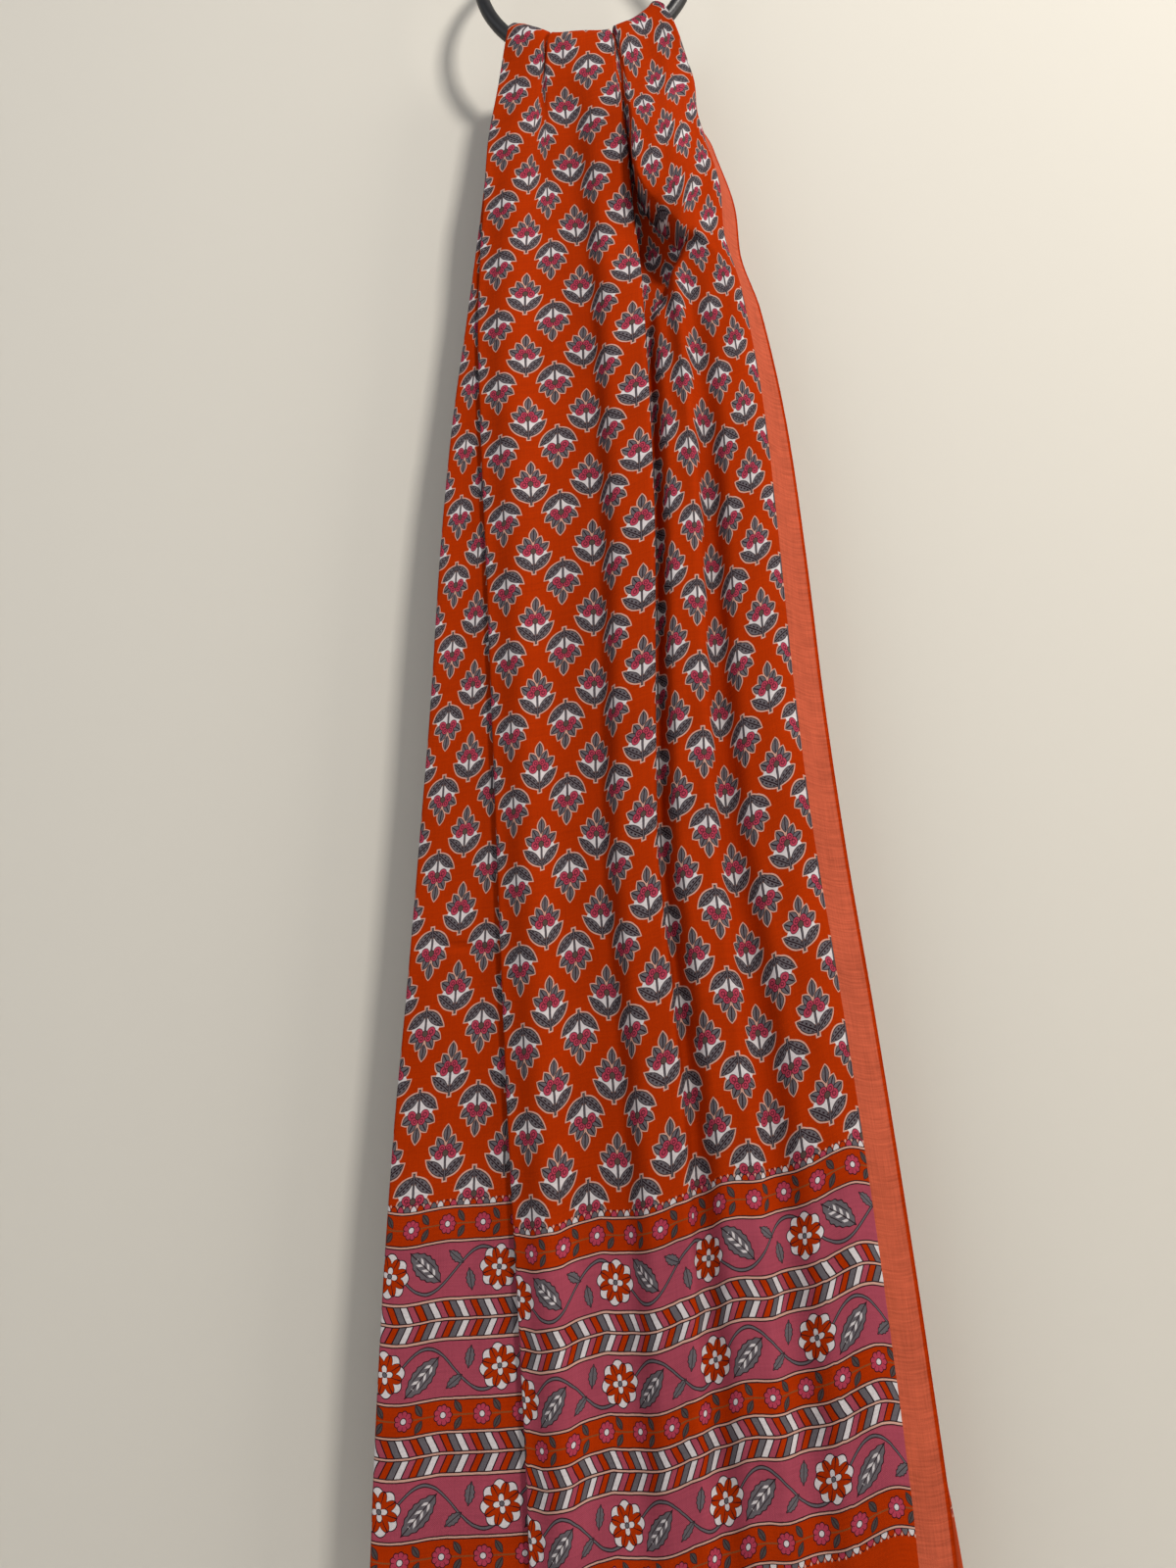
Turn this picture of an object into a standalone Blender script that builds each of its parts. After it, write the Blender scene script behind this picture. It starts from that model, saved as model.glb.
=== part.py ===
"""A long printed cotton stole, folded lengthwise into four layers and hung over a black wall ring.

Metres, +Z up. The origin is the centre of the wall plate's back face, +Y points into the wall and
+X to the right of somebody who faces the wall.
"""
import math

import bmesh
import bpy
import numpy as np

# Cut sizes of the cloth
STOLE_WIDTH = 1.000
STOLE_LENGTH = 2.300
BAND_WIDTH = 0.028
HEM_WIDTH = 0.005

# Widths of the four layers that the lengthwise folds make, from the front inwards
FRONT_LAYER = 0.308
SECOND_LAYER = 0.2586
THIRD_LAYER = 0.350
FOURTH_LAYER = STOLE_WIDTH - FRONT_LAYER - SECOND_LAYER - THIRD_LAYER

# Solid wall of the cloth and of its rolled hem
WALL = 0.0010
HEM_WALL = 0.0016
SEAM_GAP = 0.0003
HEM_GAP = 0.0005

# The ring, its post and its plate
RING_RADIUS = 0.0859
TUBE_RADIUS = 0.0054
RING_OFFSET = 0.050
PLATE_RADIUS = 0.027
PLATE_THICKNESS = 0.008
PLATE_ROUNDING = 0.0012
POST_RADIUS = 0.0075
KNUCKLE_RADIUS = 0.0095
KNUCKLE_LENGTH = 0.018
FIT_GAP = 0.0003
SHARP_ANGLE = 40.0

# How the cloth is shared between its two falls and the stretch over the ring
FRONT_STRAND = 1.112
WRAP_TAIL = 0.024
BACK_FOLD_SHARE = 0.6
BACK_INSET = 0.035
OPENING_DROP = 0.25
EASE_LENGTH = 0.020
CLOSING_DROP = 0.30
CLOSED_RADIUS = 0.0015
FOLD_ROLL = 0.004
FLOOR_BLEND = 0.0015

# Places across the cloth, measured from the front fold: plus to the right over the front layer,
# minus back through the layers behind it
EDGE_A = FRONT_LAYER
BAND_A = FRONT_LAYER - BAND_WIDTH
FRONT_FOLD = 0.0
RIGHT_FOLD = -SECOND_LAYER
LEFT_FOLD = RIGHT_FOLD - THIRD_LAYER
EDGE_B = LEFT_FOLD - FOURTH_LAYER
BAND_B = EDGE_B + BAND_WIDTH
SEAM_INSET = 0.012
PANEL_END = RIGHT_FOLD + FOLD_ROLL + SEAM_INSET

# Where the three folds, the main valley of the front layer and the free edge hang
# Columns: height, left fold, front fold, main valley, right fold, edge A
OUTLINE = (
    (-0.136, -0.0510, -0.0590, 0.0255, 0.0500, 0.0640),
    (-0.160, -0.0530, -0.0615, 0.0260, 0.0580, 0.0730),
    (-0.200, -0.0600, -0.0660, 0.0290, 0.0680, 0.0830),
    (-0.260, -0.0730, -0.0740, 0.0355, 0.0840, 0.0990),
    (-0.320, -0.0790, -0.0763, 0.0390, 0.0960, 0.1148),
    (-0.350, -0.0820, -0.0775, 0.0415, 0.1020, 0.1165),
    (-0.400, -0.0870, -0.0782, 0.0455, 0.1120, 0.1300),
    (-0.500, -0.0970, -0.0740, 0.0505, 0.1260, 0.1460),
    (-0.600, -0.1026, -0.0680, 0.0530, 0.1380, 0.1550),
    (-0.700, -0.1057, -0.0625, 0.0525, 0.1485, 0.1623),
    (-0.800, -0.1105, -0.0570, 0.0530, 0.1580, 0.1720),
    (-0.900, -0.1158, -0.0515, 0.0625, 0.1690, 0.1840),
    (-1.000, -0.1217, -0.0453, 0.0712, 0.1800, 0.1950),
    (-1.100, -0.1250, -0.0380, 0.0765, 0.1960, 0.2050),
    (-1.200, -0.1263, -0.0315, 0.0820, 0.2150, 0.2135),
    (-1.320, -0.1260, -0.0255, 0.0880, 0.2280, 0.2190),
)
VALLEY = 0.150

# How far each layer's middle lies from the tube's surface: layer, at the ring, lower down.
# INNER_SPREAD is the share of the fourth layer's width that shows at the same two levels.
LAYER_DEPTH = {
    "fourth": (0.0008, 0.0025),
    "third": (0.0023, 0.0058),
    "second": (0.0038, 0.0091),
    "front": (0.0053, 0.0124),
}
DEPTH_DROP = 0.50
INNER_SPREAD = (0.62, 1.00)

# Lengthwise flanks of the front layer. Each is a stretch of cloth that tilts towards the viewer
# (plus) or away (minus), and a pair of them is one fold.
# Columns: name, start, end, then the steepest tilt in degrees at each level of LEVEL_DROPS
LEVEL_DROPS = (0.0, 0.07, 0.125, 0.175, 0.26, 0.45, 0.80, 1.13)
FLANKS = (
    ("left swell rise", 0.004, 0.030, 10, 20, 22, 24, 26, 28, 34, 40),
    ("left swell fall", 0.030, 0.058, -10, -20, -22, -24, -26, -28, -34, -40),
    ("crest lobe rise", 0.064, 0.096, 9, 0, 0, 0, 0, 0, 0, 0),
    ("crest lobe fall", 0.100, 0.132, -9, 0, 0, 0, 0, 0, 0, 0),
    ("main ridge rise", 0.085, 0.113, 0, 40, 48, 52, 56, 62, 56, 12),
    ("main ridge fall", 0.134, 0.150, 0, -90, -110, -120, -115, -110, -80, -30),
    ("second ridge rise", 0.150, 0.174, 9, 75, 75, 10, 55, 72, 60, 28),
    ("hollow side rise", 0.178, 0.204, 0, 0, 10, 66, 34, 0, 0, 0),
    ("second ridge fall", 0.192, 0.216, -9, -20, -10, 0, -40, -72, -56, -32),
    ("third ridge rise", 0.216, 0.240, 0, 0, 0, 0, 20, 55, 45, 38),
    ("edge turn", 0.256, 0.332, -6, -44, -50, -58, -56, -42, -38, -28),
)

# How much of its width each stretch keeps where it is gathered on the ring: up to, share
GATHER = (
    (0.040, 0.75),
    (0.070, 0.13),
    (0.128, 0.845),
    (0.150, 0.10),
    (0.180, 0.08),
    (0.240, 0.52),
    (0.308, 0.07),
)

# How much longer than FRONT_STRAND the front fall is at places across the cloth: place, extra
STRAND_EXTRA = (
    (EDGE_B, 0.015),
    (LEFT_FOLD, 0.029),
    (LEFT_FOLD + 0.050, 0.014),
    (LEFT_FOLD + 0.150, -0.003),
    (RIGHT_FOLD, -0.011),
    (RIGHT_FOLD + 0.150, 0.020),
    (FRONT_FOLD, 0.044),
    (0.014, 0.038),
    (0.030, 0.028),
    (0.050, 0.019),
    (0.095, 0.009),
    (0.150, 0.002),
    (0.200, -0.001),
    (0.240, 0.004),
    (EDGE_A, -0.006),
)

# Mesh of the falls and of the wrap: columns across the front layer are closest on its flanks
FRONT_COLUMNS = (0.010, 0.017, 0.024, 0.031, 0.044, 0.058, 0.076, 0.088, 0.096, 0.104, 0.113, 0.124,
                 0.134, 0.141, 0.150, 0.158, 0.166, 0.175, 0.188, 0.198, 0.208, 0.217, 0.228,
                 0.240, 0.256, 0.268)
BAND_COLUMNS = 3
MIDDLE_COLUMN_STEP = 0.032
INNER_COLUMN_STEP = 0.016
ROLL_SEGMENTS = 4
FALL_ROWS = 15
ROW_CROWDING = 1.5
WRAP_SEGMENTS = 8
DROP_STEP = 0.010
DROP_LIMIT = 1.25
FRONT_SAMPLES = 305


def smooth_through(knots, values, at):
    """A cubic through the rows of a table that never overshoots them."""
    knots = np.asarray(knots, float)
    values = np.asarray(values, float)
    step = np.diff(knots)
    slope = np.diff(values) / step
    tangent = np.zeros_like(values)
    same_way = slope[:-1] * slope[1:] > 0.0
    before = np.where(same_way, slope[:-1], 1.0)
    after = np.where(same_way, slope[1:], 1.0)
    tangent[1:-1] = np.where(same_way, 2.0 * before * after / (before + after), 0.0)
    tangent[0] = slope[0]
    tangent[-1] = slope[-1]
    at = np.clip(at, knots[0], knots[-1])
    cell = np.clip(np.searchsorted(knots, at, side="right") - 1, 0, len(step) - 1)
    share = (at - knots[cell]) / step[cell]
    rise = share * share * (3.0 - 2.0 * share)
    lead = share * (1.0 - share) ** 2 * step[cell]
    trail = share ** 2 * (share - 1.0) * step[cell]
    bend = tangent[cell] * lead + tangent[cell + 1] * trail
    return values[cell] * (1.0 - rise) + values[cell + 1] * rise + bend


def smooth_step(value):
    value = np.clip(value, 0.0, 1.0)
    return value * value * (3.0 - 2.0 * value)


def outline(column, height):
    """The x of one column of OUTLINE at a height."""
    heights = [row[0] for row in reversed(OUTLINE)]
    places = [row[column] for row in reversed(OUTLINE)]
    return smooth_through(heights, places, height)


def ring_height(x):
    """The height of the tube's centre line on the lower half of the ring."""
    return -RING_RADIUS - np.sqrt(RING_RADIUS ** 2 - np.square(x))


RING_PLACES = OUTLINE[0][1:]


def fold_places(drop):
    """The x of each column of OUTLINE, this far below the ring."""
    places = []
    for column, start in enumerate(RING_PLACES, start=1):
        top = ring_height(start)
        shift = start - float(outline(column, top))
        settle = math.exp(-drop / EASE_LENGTH)
        places.append(float(outline(column, top - drop)) + shift * settle)
    return places


def layer_depths(drop):
    share = float(smooth_step(drop / DEPTH_DROP))
    return {name: top + (low - top) * share for name, (top, low) in LAYER_DEPTH.items()}


def tilt(places, drop, fold_share):
    """The tilt of the front layer at places across it, in radians."""
    eased = drop - EASE_LENGTH * (1.0 - math.exp(-drop / EASE_LENGTH))
    total = np.zeros_like(places)
    for _, start, end, *angles in FLANKS:
        steepest = float(smooth_through(LEVEL_DROPS, angles, eased))
        share = np.clip((places - start) / (end - start), 0.0, 1.0)
        total += math.radians(steepest) * fold_share * np.sin(math.pi * share)
    return total


def gather_share(places, drop):
    """The share of its width that the front layer keeps at places across it."""
    ends = [row[0] for row in GATHER]
    shares = np.array([row[1] for row in GATHER])
    cell = np.clip(np.searchsorted(ends, places), 0, len(ends) - 1)
    opened = float(smooth_step(drop / OPENING_DROP))
    return shares[cell] + (1.0 - shares[cell]) * opened


def front_layer(places, drop, fold_share, left, valley, right):
    """x and height above its own floor of the front layer, from its fold to edge A."""
    fine = np.linspace(FOLD_ROLL, FRONT_LAYER, FRONT_SAMPLES)
    step = fine[1] - fine[0]
    middle = (fine[:-1] + fine[1:]) / 2.0
    angle = tilt(middle, drop, fold_share)
    kept = gather_share(middle, drop) * step
    across = np.concatenate(([0.0], np.cumsum(kept * np.cos(angle))))
    above = np.concatenate(([0.0], np.cumsum(kept * np.sin(angle))))
    at_valley = float(np.interp(VALLEY, fine, across))
    across = np.where(fine <= VALLEY,
                      left + across * (valley - left) / at_valley,
                      valley + (across - at_valley) * (right - valley) / (across[-1] - at_valley))
    above -= above[-1] * (fine - fine[0]) / (fine[-1] - fine[0])
    above = 0.5 * (above + np.sqrt(above ** 2 + FLOOR_BLEND ** 2)) - 0.5 * FLOOR_BLEND
    return np.interp(places, fine, across), np.interp(places, fine, above)


def section(places, drop, fold_share):
    """x and distance from the tube's surface of the folded cloth, this far below the ring."""
    places = np.asarray(places, float)
    left, front, valley, right, edge = fold_places(drop)
    depth = layer_depths(drop)
    front_roll = (depth["front"] - depth["second"]) / 2.0
    right_roll = (depth["second"] - depth["third"]) / 2.0
    left_roll = (depth["third"] - depth["fourth"]) / 2.0
    x = np.zeros_like(places)
    away = np.zeros_like(places)

    on_front = places >= FOLD_ROLL
    spread, above = front_layer(places[on_front], drop, fold_share, front + front_roll, valley, edge)
    x[on_front] = spread
    away[on_front] = depth["front"] + above

    rolls = (
        (FRONT_FOLD, front + front_roll, -front_roll, (depth["front"] + depth["second"]) / 2.0),
        (RIGHT_FOLD, right - right_roll, right_roll, (depth["second"] + depth["third"]) / 2.0),
        (LEFT_FOLD, left + left_roll, -left_roll, (depth["third"] + depth["fourth"]) / 2.0),
    )
    for fold, centre, reach, middle in rolls:
        rolled = np.abs(places - fold) < FOLD_ROLL
        turn = (places[rolled] - fold) / FOLD_ROLL * math.pi / 2.0
        x[rolled] = centre + reach * np.cos(turn)
        away[rolled] = middle + abs(reach) * np.sin(turn)

    gathered, flat_share = INNER_SPREAD
    opened = gathered + (flat_share - gathered) * smooth_step(drop / DEPTH_DROP)
    inner_end = left + left_roll + FOURTH_LAYER * opened
    flats = (
        (RIGHT_FOLD, FRONT_FOLD, right - right_roll, front + front_roll, "second"),
        (LEFT_FOLD, RIGHT_FOLD, left + left_roll, right - right_roll, "third"),
    )
    for start, end, x_start, x_end, layer in flats:
        flat = (places >= start + FOLD_ROLL) & (places <= end - FOLD_ROLL)
        share = (places[flat] - start - FOLD_ROLL) / (end - start - 2.0 * FOLD_ROLL)
        x[flat] = x_start + (x_end - x_start) * share
        away[flat] = depth[layer]
    inner = places <= LEFT_FOLD - FOLD_ROLL
    share = (LEFT_FOLD - FOLD_ROLL - places[inner]) / (FOURTH_LAYER - FOLD_ROLL)
    x[inner] = left + left_roll + (inner_end - left - left_roll) * share
    away[inner] = depth["fourth"]
    return x, away


def fall_reach(drop):
    """How far a fall's inner side hangs from the ring's plane: the two falls close up lower down."""
    closed = float(smooth_step(drop / CLOSING_DROP))
    return TUBE_RADIUS + (CLOSED_RADIUS - TUBE_RADIUS) * closed


def strand_extra(places):
    """The extra length of the front fall, level round each lengthwise fold."""
    rows = sorted(STRAND_EXTRA)
    places = np.array(places, float)
    for fold in (FRONT_FOLD, RIGHT_FOLD, LEFT_FOLD):
        places[np.abs(places - fold) <= FOLD_ROLL] = fold
    return smooth_through([row[0] for row in rows], [row[1] for row in rows], places)


class Fall:
    """One fall of the cloth below the ring: points at any place across it and any drop."""

    def __init__(self, places, side, fold_share, inset):
        self.places = np.asarray(places, float)
        self.drops = np.arange(0.0, DROP_LIMIT + DROP_STEP / 2.0, DROP_STEP)
        top_x, _ = section(self.places, 0.0, fold_share)
        top = ring_height(top_x)
        rows = []
        for drop in self.drops:
            x, away = section(self.places, drop, fold_share)
            x = x * (1.0 - inset * float(smooth_step(drop / OPENING_DROP)))
            y = -RING_OFFSET + side * (fall_reach(drop) + away)
            rows.append(np.stack([x, y, top - drop], axis=1))
        self.points = np.array(rows)
        steps = np.linalg.norm(np.diff(self.points, axis=0), axis=2)
        self.lengths = np.vstack([np.zeros(len(self.places)), np.cumsum(steps, axis=0)])

    def drop_at(self, lengths):
        """The drop of each strand where it is this long, counted from the ring."""
        return np.array([np.interp(length, self.lengths[:, column], self.drops)
                         for column, length in enumerate(lengths)])

    def row(self, drops):
        """One row of points, with a drop for each place."""
        return np.array([[np.interp(drop, self.drops, self.points[:, column, axis])
                          for axis in range(3)] for column, drop in enumerate(drops)])


def wrap_row(places, turn):
    """One row of points on the stretch over the ring; the turn is +90 degrees at the front."""
    x, away = section(places, 0.0, 1.0)
    lean = np.arcsin(x / RING_RADIUS)
    reach = TUBE_RADIUS + away
    radius = RING_RADIUS - reach * math.cos(turn)
    y = -RING_OFFSET - reach * math.sin(turn)
    return np.stack([radius * np.sin(lean), y, -RING_RADIUS - radius * np.cos(lean)], axis=1)


def wrap_length():
    """The length of cloth over the ring, along the middle of the folded layers."""
    return math.pi * (TUBE_RADIUS + LAYER_DEPTH["second"][0])


def roll_columns(fold):
    """The columns round one lengthwise fold."""
    turns = np.linspace(-FOLD_ROLL, FOLD_ROLL, ROLL_SEGMENTS + 1)
    return [fold + turn for turn in turns]


def flat_columns(start, end, step):
    """Evenly spaced columns on a layer that hangs flat, without its two ends."""
    count = max(2, round((end - start) / step))
    return list(np.linspace(start, end, count + 1)[1:-1])


def panel_columns():
    """The printed cloth of the front and second layers, from the second layer's end to band A."""
    behind = flat_columns(PANEL_END, FRONT_FOLD - FOLD_ROLL, MIDDLE_COLUMN_STEP)
    return [PANEL_END] + behind + roll_columns(FRONT_FOLD) + list(FRONT_COLUMNS) + [BAND_A]


def tuck_columns():
    """The printed cloth of the third and fourth layers, from band B to the second layer's end."""
    inner = flat_columns(BAND_B, LEFT_FOLD - FOLD_ROLL, INNER_COLUMN_STEP)
    third = flat_columns(LEFT_FOLD + FOLD_ROLL, RIGHT_FOLD - FOLD_ROLL, MIDDLE_COLUMN_STEP)
    outer = roll_columns(RIGHT_FOLD) + [PANEL_END]
    return [BAND_B] + inner + roll_columns(LEFT_FOLD) + third + outer


def band_columns(start, end):
    return list(np.linspace(start, end, BAND_COLUMNS + 1))


STRIPS = {
    "panel": panel_columns(),
    "tuck": tuck_columns(),
    "band_a": band_columns(BAND_A, EDGE_A),
    "band_b": band_columns(EDGE_B, BAND_B),
}
HEM_STRIPS = {
    "panel": panel_columns()[:-1] + band_columns(BAND_A, EDGE_A),
    "tuck": band_columns(EDGE_B, BAND_B)[:-1] + tuck_columns(),
}
FREE_EDGES = (EDGE_A, EDGE_B)


def part_seams(points, places):
    """Draw both ends of every row in by half a seam gap, where the cloth goes on in another piece."""
    points = points.copy()
    for end, inner in ((0, 1), (-1, -2)):
        if places[end] in FREE_EDGES:
            continue
        run = points[:, inner] - points[:, end]
        length = np.linalg.norm(run, axis=1, keepdims=True)
        points[:, end] += run / length * SEAM_GAP / 2.0
    return points


def fall_sides():
    """The front and the back fall: side, share of the folds' tilt, inset and strand length."""
    def front_length(places):
        return FRONT_STRAND + strand_extra(places)

    def back_length(places):
        return STOLE_LENGTH - front_length(places) - wrap_length()

    return {
        "front": (-1.0, 1.0, 0.0, front_length),
        "back": (1.0, BACK_FOLD_SHARE, BACK_INSET, back_length),
    }


def fall_points(places, side, start_drop, end_lengths, rows):
    """Rows of points down a fall, from one drop to the place where each strand has its length."""
    direction, fold_share, inset, _ = side
    fall = Fall(places, direction, fold_share, inset)
    last = fall.drop_at(end_lengths - HEM_WIDTH)
    crowd = np.linspace(0.0, 1.0, rows) ** ROW_CROWDING
    points = [fall.row(start_drop + (last - start_drop) * share) for share in crowd]
    points.append(fall.row(fall.drop_at(end_lengths)))
    return np.array(points)


def hem_points(places, side):
    """Two rows of points along the hem, at its upper and its lower edge."""
    direction, fold_share, inset, strand_length = side
    places = np.asarray(places, float)
    fall = Fall(places, direction, fold_share, inset)
    lengths = strand_length(places)
    return np.array([fall.row(fall.drop_at(lengths - HEM_WIDTH)), fall.row(fall.drop_at(lengths))])


def wrap_points(places):
    """Rows of points from the front fall's top over the ring to the back fall's top."""
    rows = []
    for side in (-1.0, 1.0):
        fall = Fall(places, side, 1.0, 0.0)
        tail = [fall.row(np.full(len(places), drop)) for drop in (WRAP_TAIL, WRAP_TAIL / 2.0)]
        rows.append(tail)
    turns = np.linspace(math.pi / 2.0, -math.pi / 2.0, WRAP_SEGMENTS + 1)
    over = [wrap_row(places, turn) for turn in turns]
    return np.array(rows[0] + over + rows[1][::-1])


def make_material(name, colour, roughness, metallic):
    material = bpy.data.materials.new(name)
    material.use_nodes = True
    shader = material.node_tree.nodes["Principled BSDF"]
    shader.inputs["Base Color"].default_value = (*colour, 1.0)
    shader.inputs["Roughness"].default_value = roughness
    shader.inputs["Metallic"].default_value = metallic
    return material


def finish_object(name, mesh, material):
    mesh.materials.clear()
    mesh.materials.append(material)
    obj = bpy.data.objects.new(name, mesh)
    PARTS.objects.link(obj)
    return obj


def make_cloth(name, points, wall, material):
    """A wall of cloth: an open grid on the points, given its thickness by Solidify."""
    rows, columns = points.shape[:2]
    grid = bmesh.new()
    bmesh.ops.create_grid(grid, x_segments=rows - 1, y_segments=columns - 1, size=1.0)
    reach_x = max(vertex.co.x for vertex in grid.verts)
    reach_y = max(vertex.co.y for vertex in grid.verts)
    for vertex in grid.verts:
        row = round((vertex.co.x / reach_x + 1.0) / 2.0 * (rows - 1))
        column = round((vertex.co.y / reach_y + 1.0) / 2.0 * (columns - 1))
        vertex.co = points[row, column]
    mesh = bpy.data.meshes.new(name)
    grid.to_mesh(mesh)
    grid.free()
    mesh.shade_smooth()
    cloth = finish_object(name, mesh, material)
    solidify = cloth.modifiers.new("wall", "SOLIDIFY")
    solidify.thickness = wall
    solidify.offset = 0.0
    solidify.use_even_offset = True
    return cloth


def build_cloth(materials):
    for side_name, side in fall_sides().items():
        strand_length = side[3]
        for strip, places in STRIPS.items():
            lengths = strand_length(np.asarray(places)) - HEM_WIDTH - HEM_GAP
            points = fall_points(places, side, WRAP_TAIL + SEAM_GAP, lengths, FALL_ROWS)
            material = materials["band" if strip.startswith("band") else "print"]
            make_cloth(f"{side_name}_{strip}", part_seams(points, places), WALL, material)
        for strip, places in HEM_STRIPS.items():
            points = part_seams(hem_points(places, side), places)
            make_cloth(f"{side_name}_hem_{strip}", points, HEM_WALL, materials["print"])
    for strip, places in STRIPS.items():
        material = materials["band" if strip.startswith("band") else "print"]
        make_cloth(f"wrap_{strip}", part_seams(wrap_points(places), places), WALL, material)


def make_ring(material):
    bpy.ops.mesh.primitive_torus_add(major_segments=48, minor_segments=12,
                                     major_radius=RING_RADIUS, minor_radius=TUBE_RADIUS,
                                     location=(0.0, -RING_OFFSET, -RING_RADIUS),
                                     rotation=(math.pi / 2.0, 0.0, 0.0))
    return adopt("ring", material)


def adopt(name, material):
    """Take the primitive that was just added into the parts' collection, under its own name."""
    obj = bpy.context.object
    for holder in list(obj.users_collection):
        holder.objects.unlink(obj)
    PARTS.objects.link(obj)
    obj.name = name
    obj.data.name = name
    obj.data.materials.append(material)
    obj.data.shade_smooth()
    obj.data.set_sharp_from_angle(angle=math.radians(SHARP_ANGLE))
    return obj


def make_guide(obj):
    """Move a cutter or a joined piece out of the parts' collection and show it as wire."""
    PARTS.objects.unlink(obj)
    CUTTERS.objects.link(obj)
    obj.hide_render = True
    obj.display_type = "WIRE"
    return obj


def join_or_cut(obj, other, operation):
    boolean = obj.modifiers.new(other.name, "BOOLEAN")
    boolean.operation = operation
    boolean.object = other
    boolean.solver = "EXACT"


def make_post(material):
    """The post and its cross knuckle, bored for the ring."""
    length = RING_OFFSET - PLATE_THICKNESS - FIT_GAP
    middle = -PLATE_THICKNESS - FIT_GAP - length / 2.0
    bpy.ops.mesh.primitive_cylinder_add(vertices=32, radius=KNUCKLE_RADIUS, depth=KNUCKLE_LENGTH,
                                        location=(0.0, -RING_OFFSET, 0.0),
                                        rotation=(0.0, math.pi / 2.0, 0.0))
    post = adopt("post", material)
    bpy.ops.mesh.primitive_cylinder_add(vertices=32, radius=POST_RADIUS, depth=length,
                                        location=(0.0, middle, 0.0),
                                        rotation=(math.pi / 2.0, 0.0, 0.0))
    join_or_cut(post, make_guide(adopt("post_rod", material)), "UNION")
    bpy.ops.mesh.primitive_torus_add(major_segments=48, minor_segments=12,
                                     major_radius=RING_RADIUS, minor_radius=TUBE_RADIUS + FIT_GAP,
                                     location=(0.0, -RING_OFFSET, -RING_RADIUS),
                                     rotation=(math.pi / 2.0, 0.0, 0.0))
    join_or_cut(post, make_guide(adopt("ring_bore", material)), "DIFFERENCE")
    return post


def make_plate(material):
    bpy.ops.mesh.primitive_cylinder_add(vertices=40, radius=PLATE_RADIUS, depth=PLATE_THICKNESS,
                                        location=(0.0, -PLATE_THICKNESS / 2.0, 0.0),
                                        rotation=(math.pi / 2.0, 0.0, 0.0))
    plate = adopt("wall_plate", material)
    bevel = plate.modifiers.new("rim", "BEVEL")
    bevel.width = PLATE_ROUNDING
    bevel.segments = 2
    bevel.limit_method = "ANGLE"
    return plate


for old in list(bpy.data.objects):
    bpy.data.objects.remove(old, do_unlink=True)

PARTS = bpy.data.collections.new("dupatta_stole")
CUTTERS = bpy.data.collections.new("cutters")
bpy.context.scene.collection.children.link(PARTS)
bpy.context.scene.collection.children.link(CUTTERS)

MATERIALS = {
    "print": make_material("printed_cotton", (0.60, 0.055, 0.005), 0.85, 0.0),
    "band": make_material("selvedge_cotton", (0.63, 0.13, 0.06), 0.85, 0.0),
    "metal": make_material("black_metal", (0.012, 0.012, 0.013), 0.45, 0.0),
}

build_cloth(MATERIALS)
make_ring(MATERIALS["metal"])
make_post(MATERIALS["metal"])
make_plate(MATERIALS["metal"])
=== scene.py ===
# %% [markdown]
# # A printed cotton stole hung over a wall ring
# The stole is one long piece of thin printed cotton. It is folded lengthwise into four layers and
# hangs over a black ring, with one fall in front and one behind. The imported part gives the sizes
# and the places. This script makes the looks: the folded cloth as a thin shell with soft creases,
# its sewn hems and selvedges, the coated ring set, and materials made only of nodes.

import math
from functools import partialmethod

import bmesh
import bpy
import mathutils
import numpy as np
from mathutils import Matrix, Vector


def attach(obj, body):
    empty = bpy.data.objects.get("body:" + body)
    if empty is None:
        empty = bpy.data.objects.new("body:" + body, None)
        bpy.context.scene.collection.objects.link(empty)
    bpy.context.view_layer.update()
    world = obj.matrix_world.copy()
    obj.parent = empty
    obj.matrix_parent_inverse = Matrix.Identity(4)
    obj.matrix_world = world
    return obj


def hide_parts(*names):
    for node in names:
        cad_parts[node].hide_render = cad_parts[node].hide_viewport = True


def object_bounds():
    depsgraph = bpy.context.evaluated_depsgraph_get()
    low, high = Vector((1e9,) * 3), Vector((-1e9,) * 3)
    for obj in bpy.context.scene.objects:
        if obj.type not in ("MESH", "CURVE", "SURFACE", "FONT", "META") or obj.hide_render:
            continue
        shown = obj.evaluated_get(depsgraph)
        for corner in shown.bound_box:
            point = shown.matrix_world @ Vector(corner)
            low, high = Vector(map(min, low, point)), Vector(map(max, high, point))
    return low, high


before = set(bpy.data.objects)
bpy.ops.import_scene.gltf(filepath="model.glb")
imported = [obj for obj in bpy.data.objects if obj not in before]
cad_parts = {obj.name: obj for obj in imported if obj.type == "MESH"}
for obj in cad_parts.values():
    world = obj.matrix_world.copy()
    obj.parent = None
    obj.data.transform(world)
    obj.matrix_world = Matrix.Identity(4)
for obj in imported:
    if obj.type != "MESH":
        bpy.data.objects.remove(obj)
packed_low, packed_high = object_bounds()
scene = bpy.context.scene
print("packed box in mm", [round((b - a) * 1000) for a, b in zip(packed_low, packed_high)])

# %% [markdown]
# A few helpers come first. They link an object, add a node with its settings and sockets, and make
# a material with its Principled shader.

# %% Objects, nodes and materials


def add_object(name, data):
    thing = bpy.data.objects.new(name, data)
    scene.collection.objects.link(thing)
    return thing


def feed(socket, value):
    """Give a socket a value, a wire, another node's output or its first output."""
    value = getattr(value, "socket", value)
    if isinstance(value, bpy.types.Node):
        value = value.outputs[0]
    if isinstance(value, bpy.types.NodeSocket):
        socket.id_data.links.new(value, socket)
    else:
        socket.default_value = value


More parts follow.
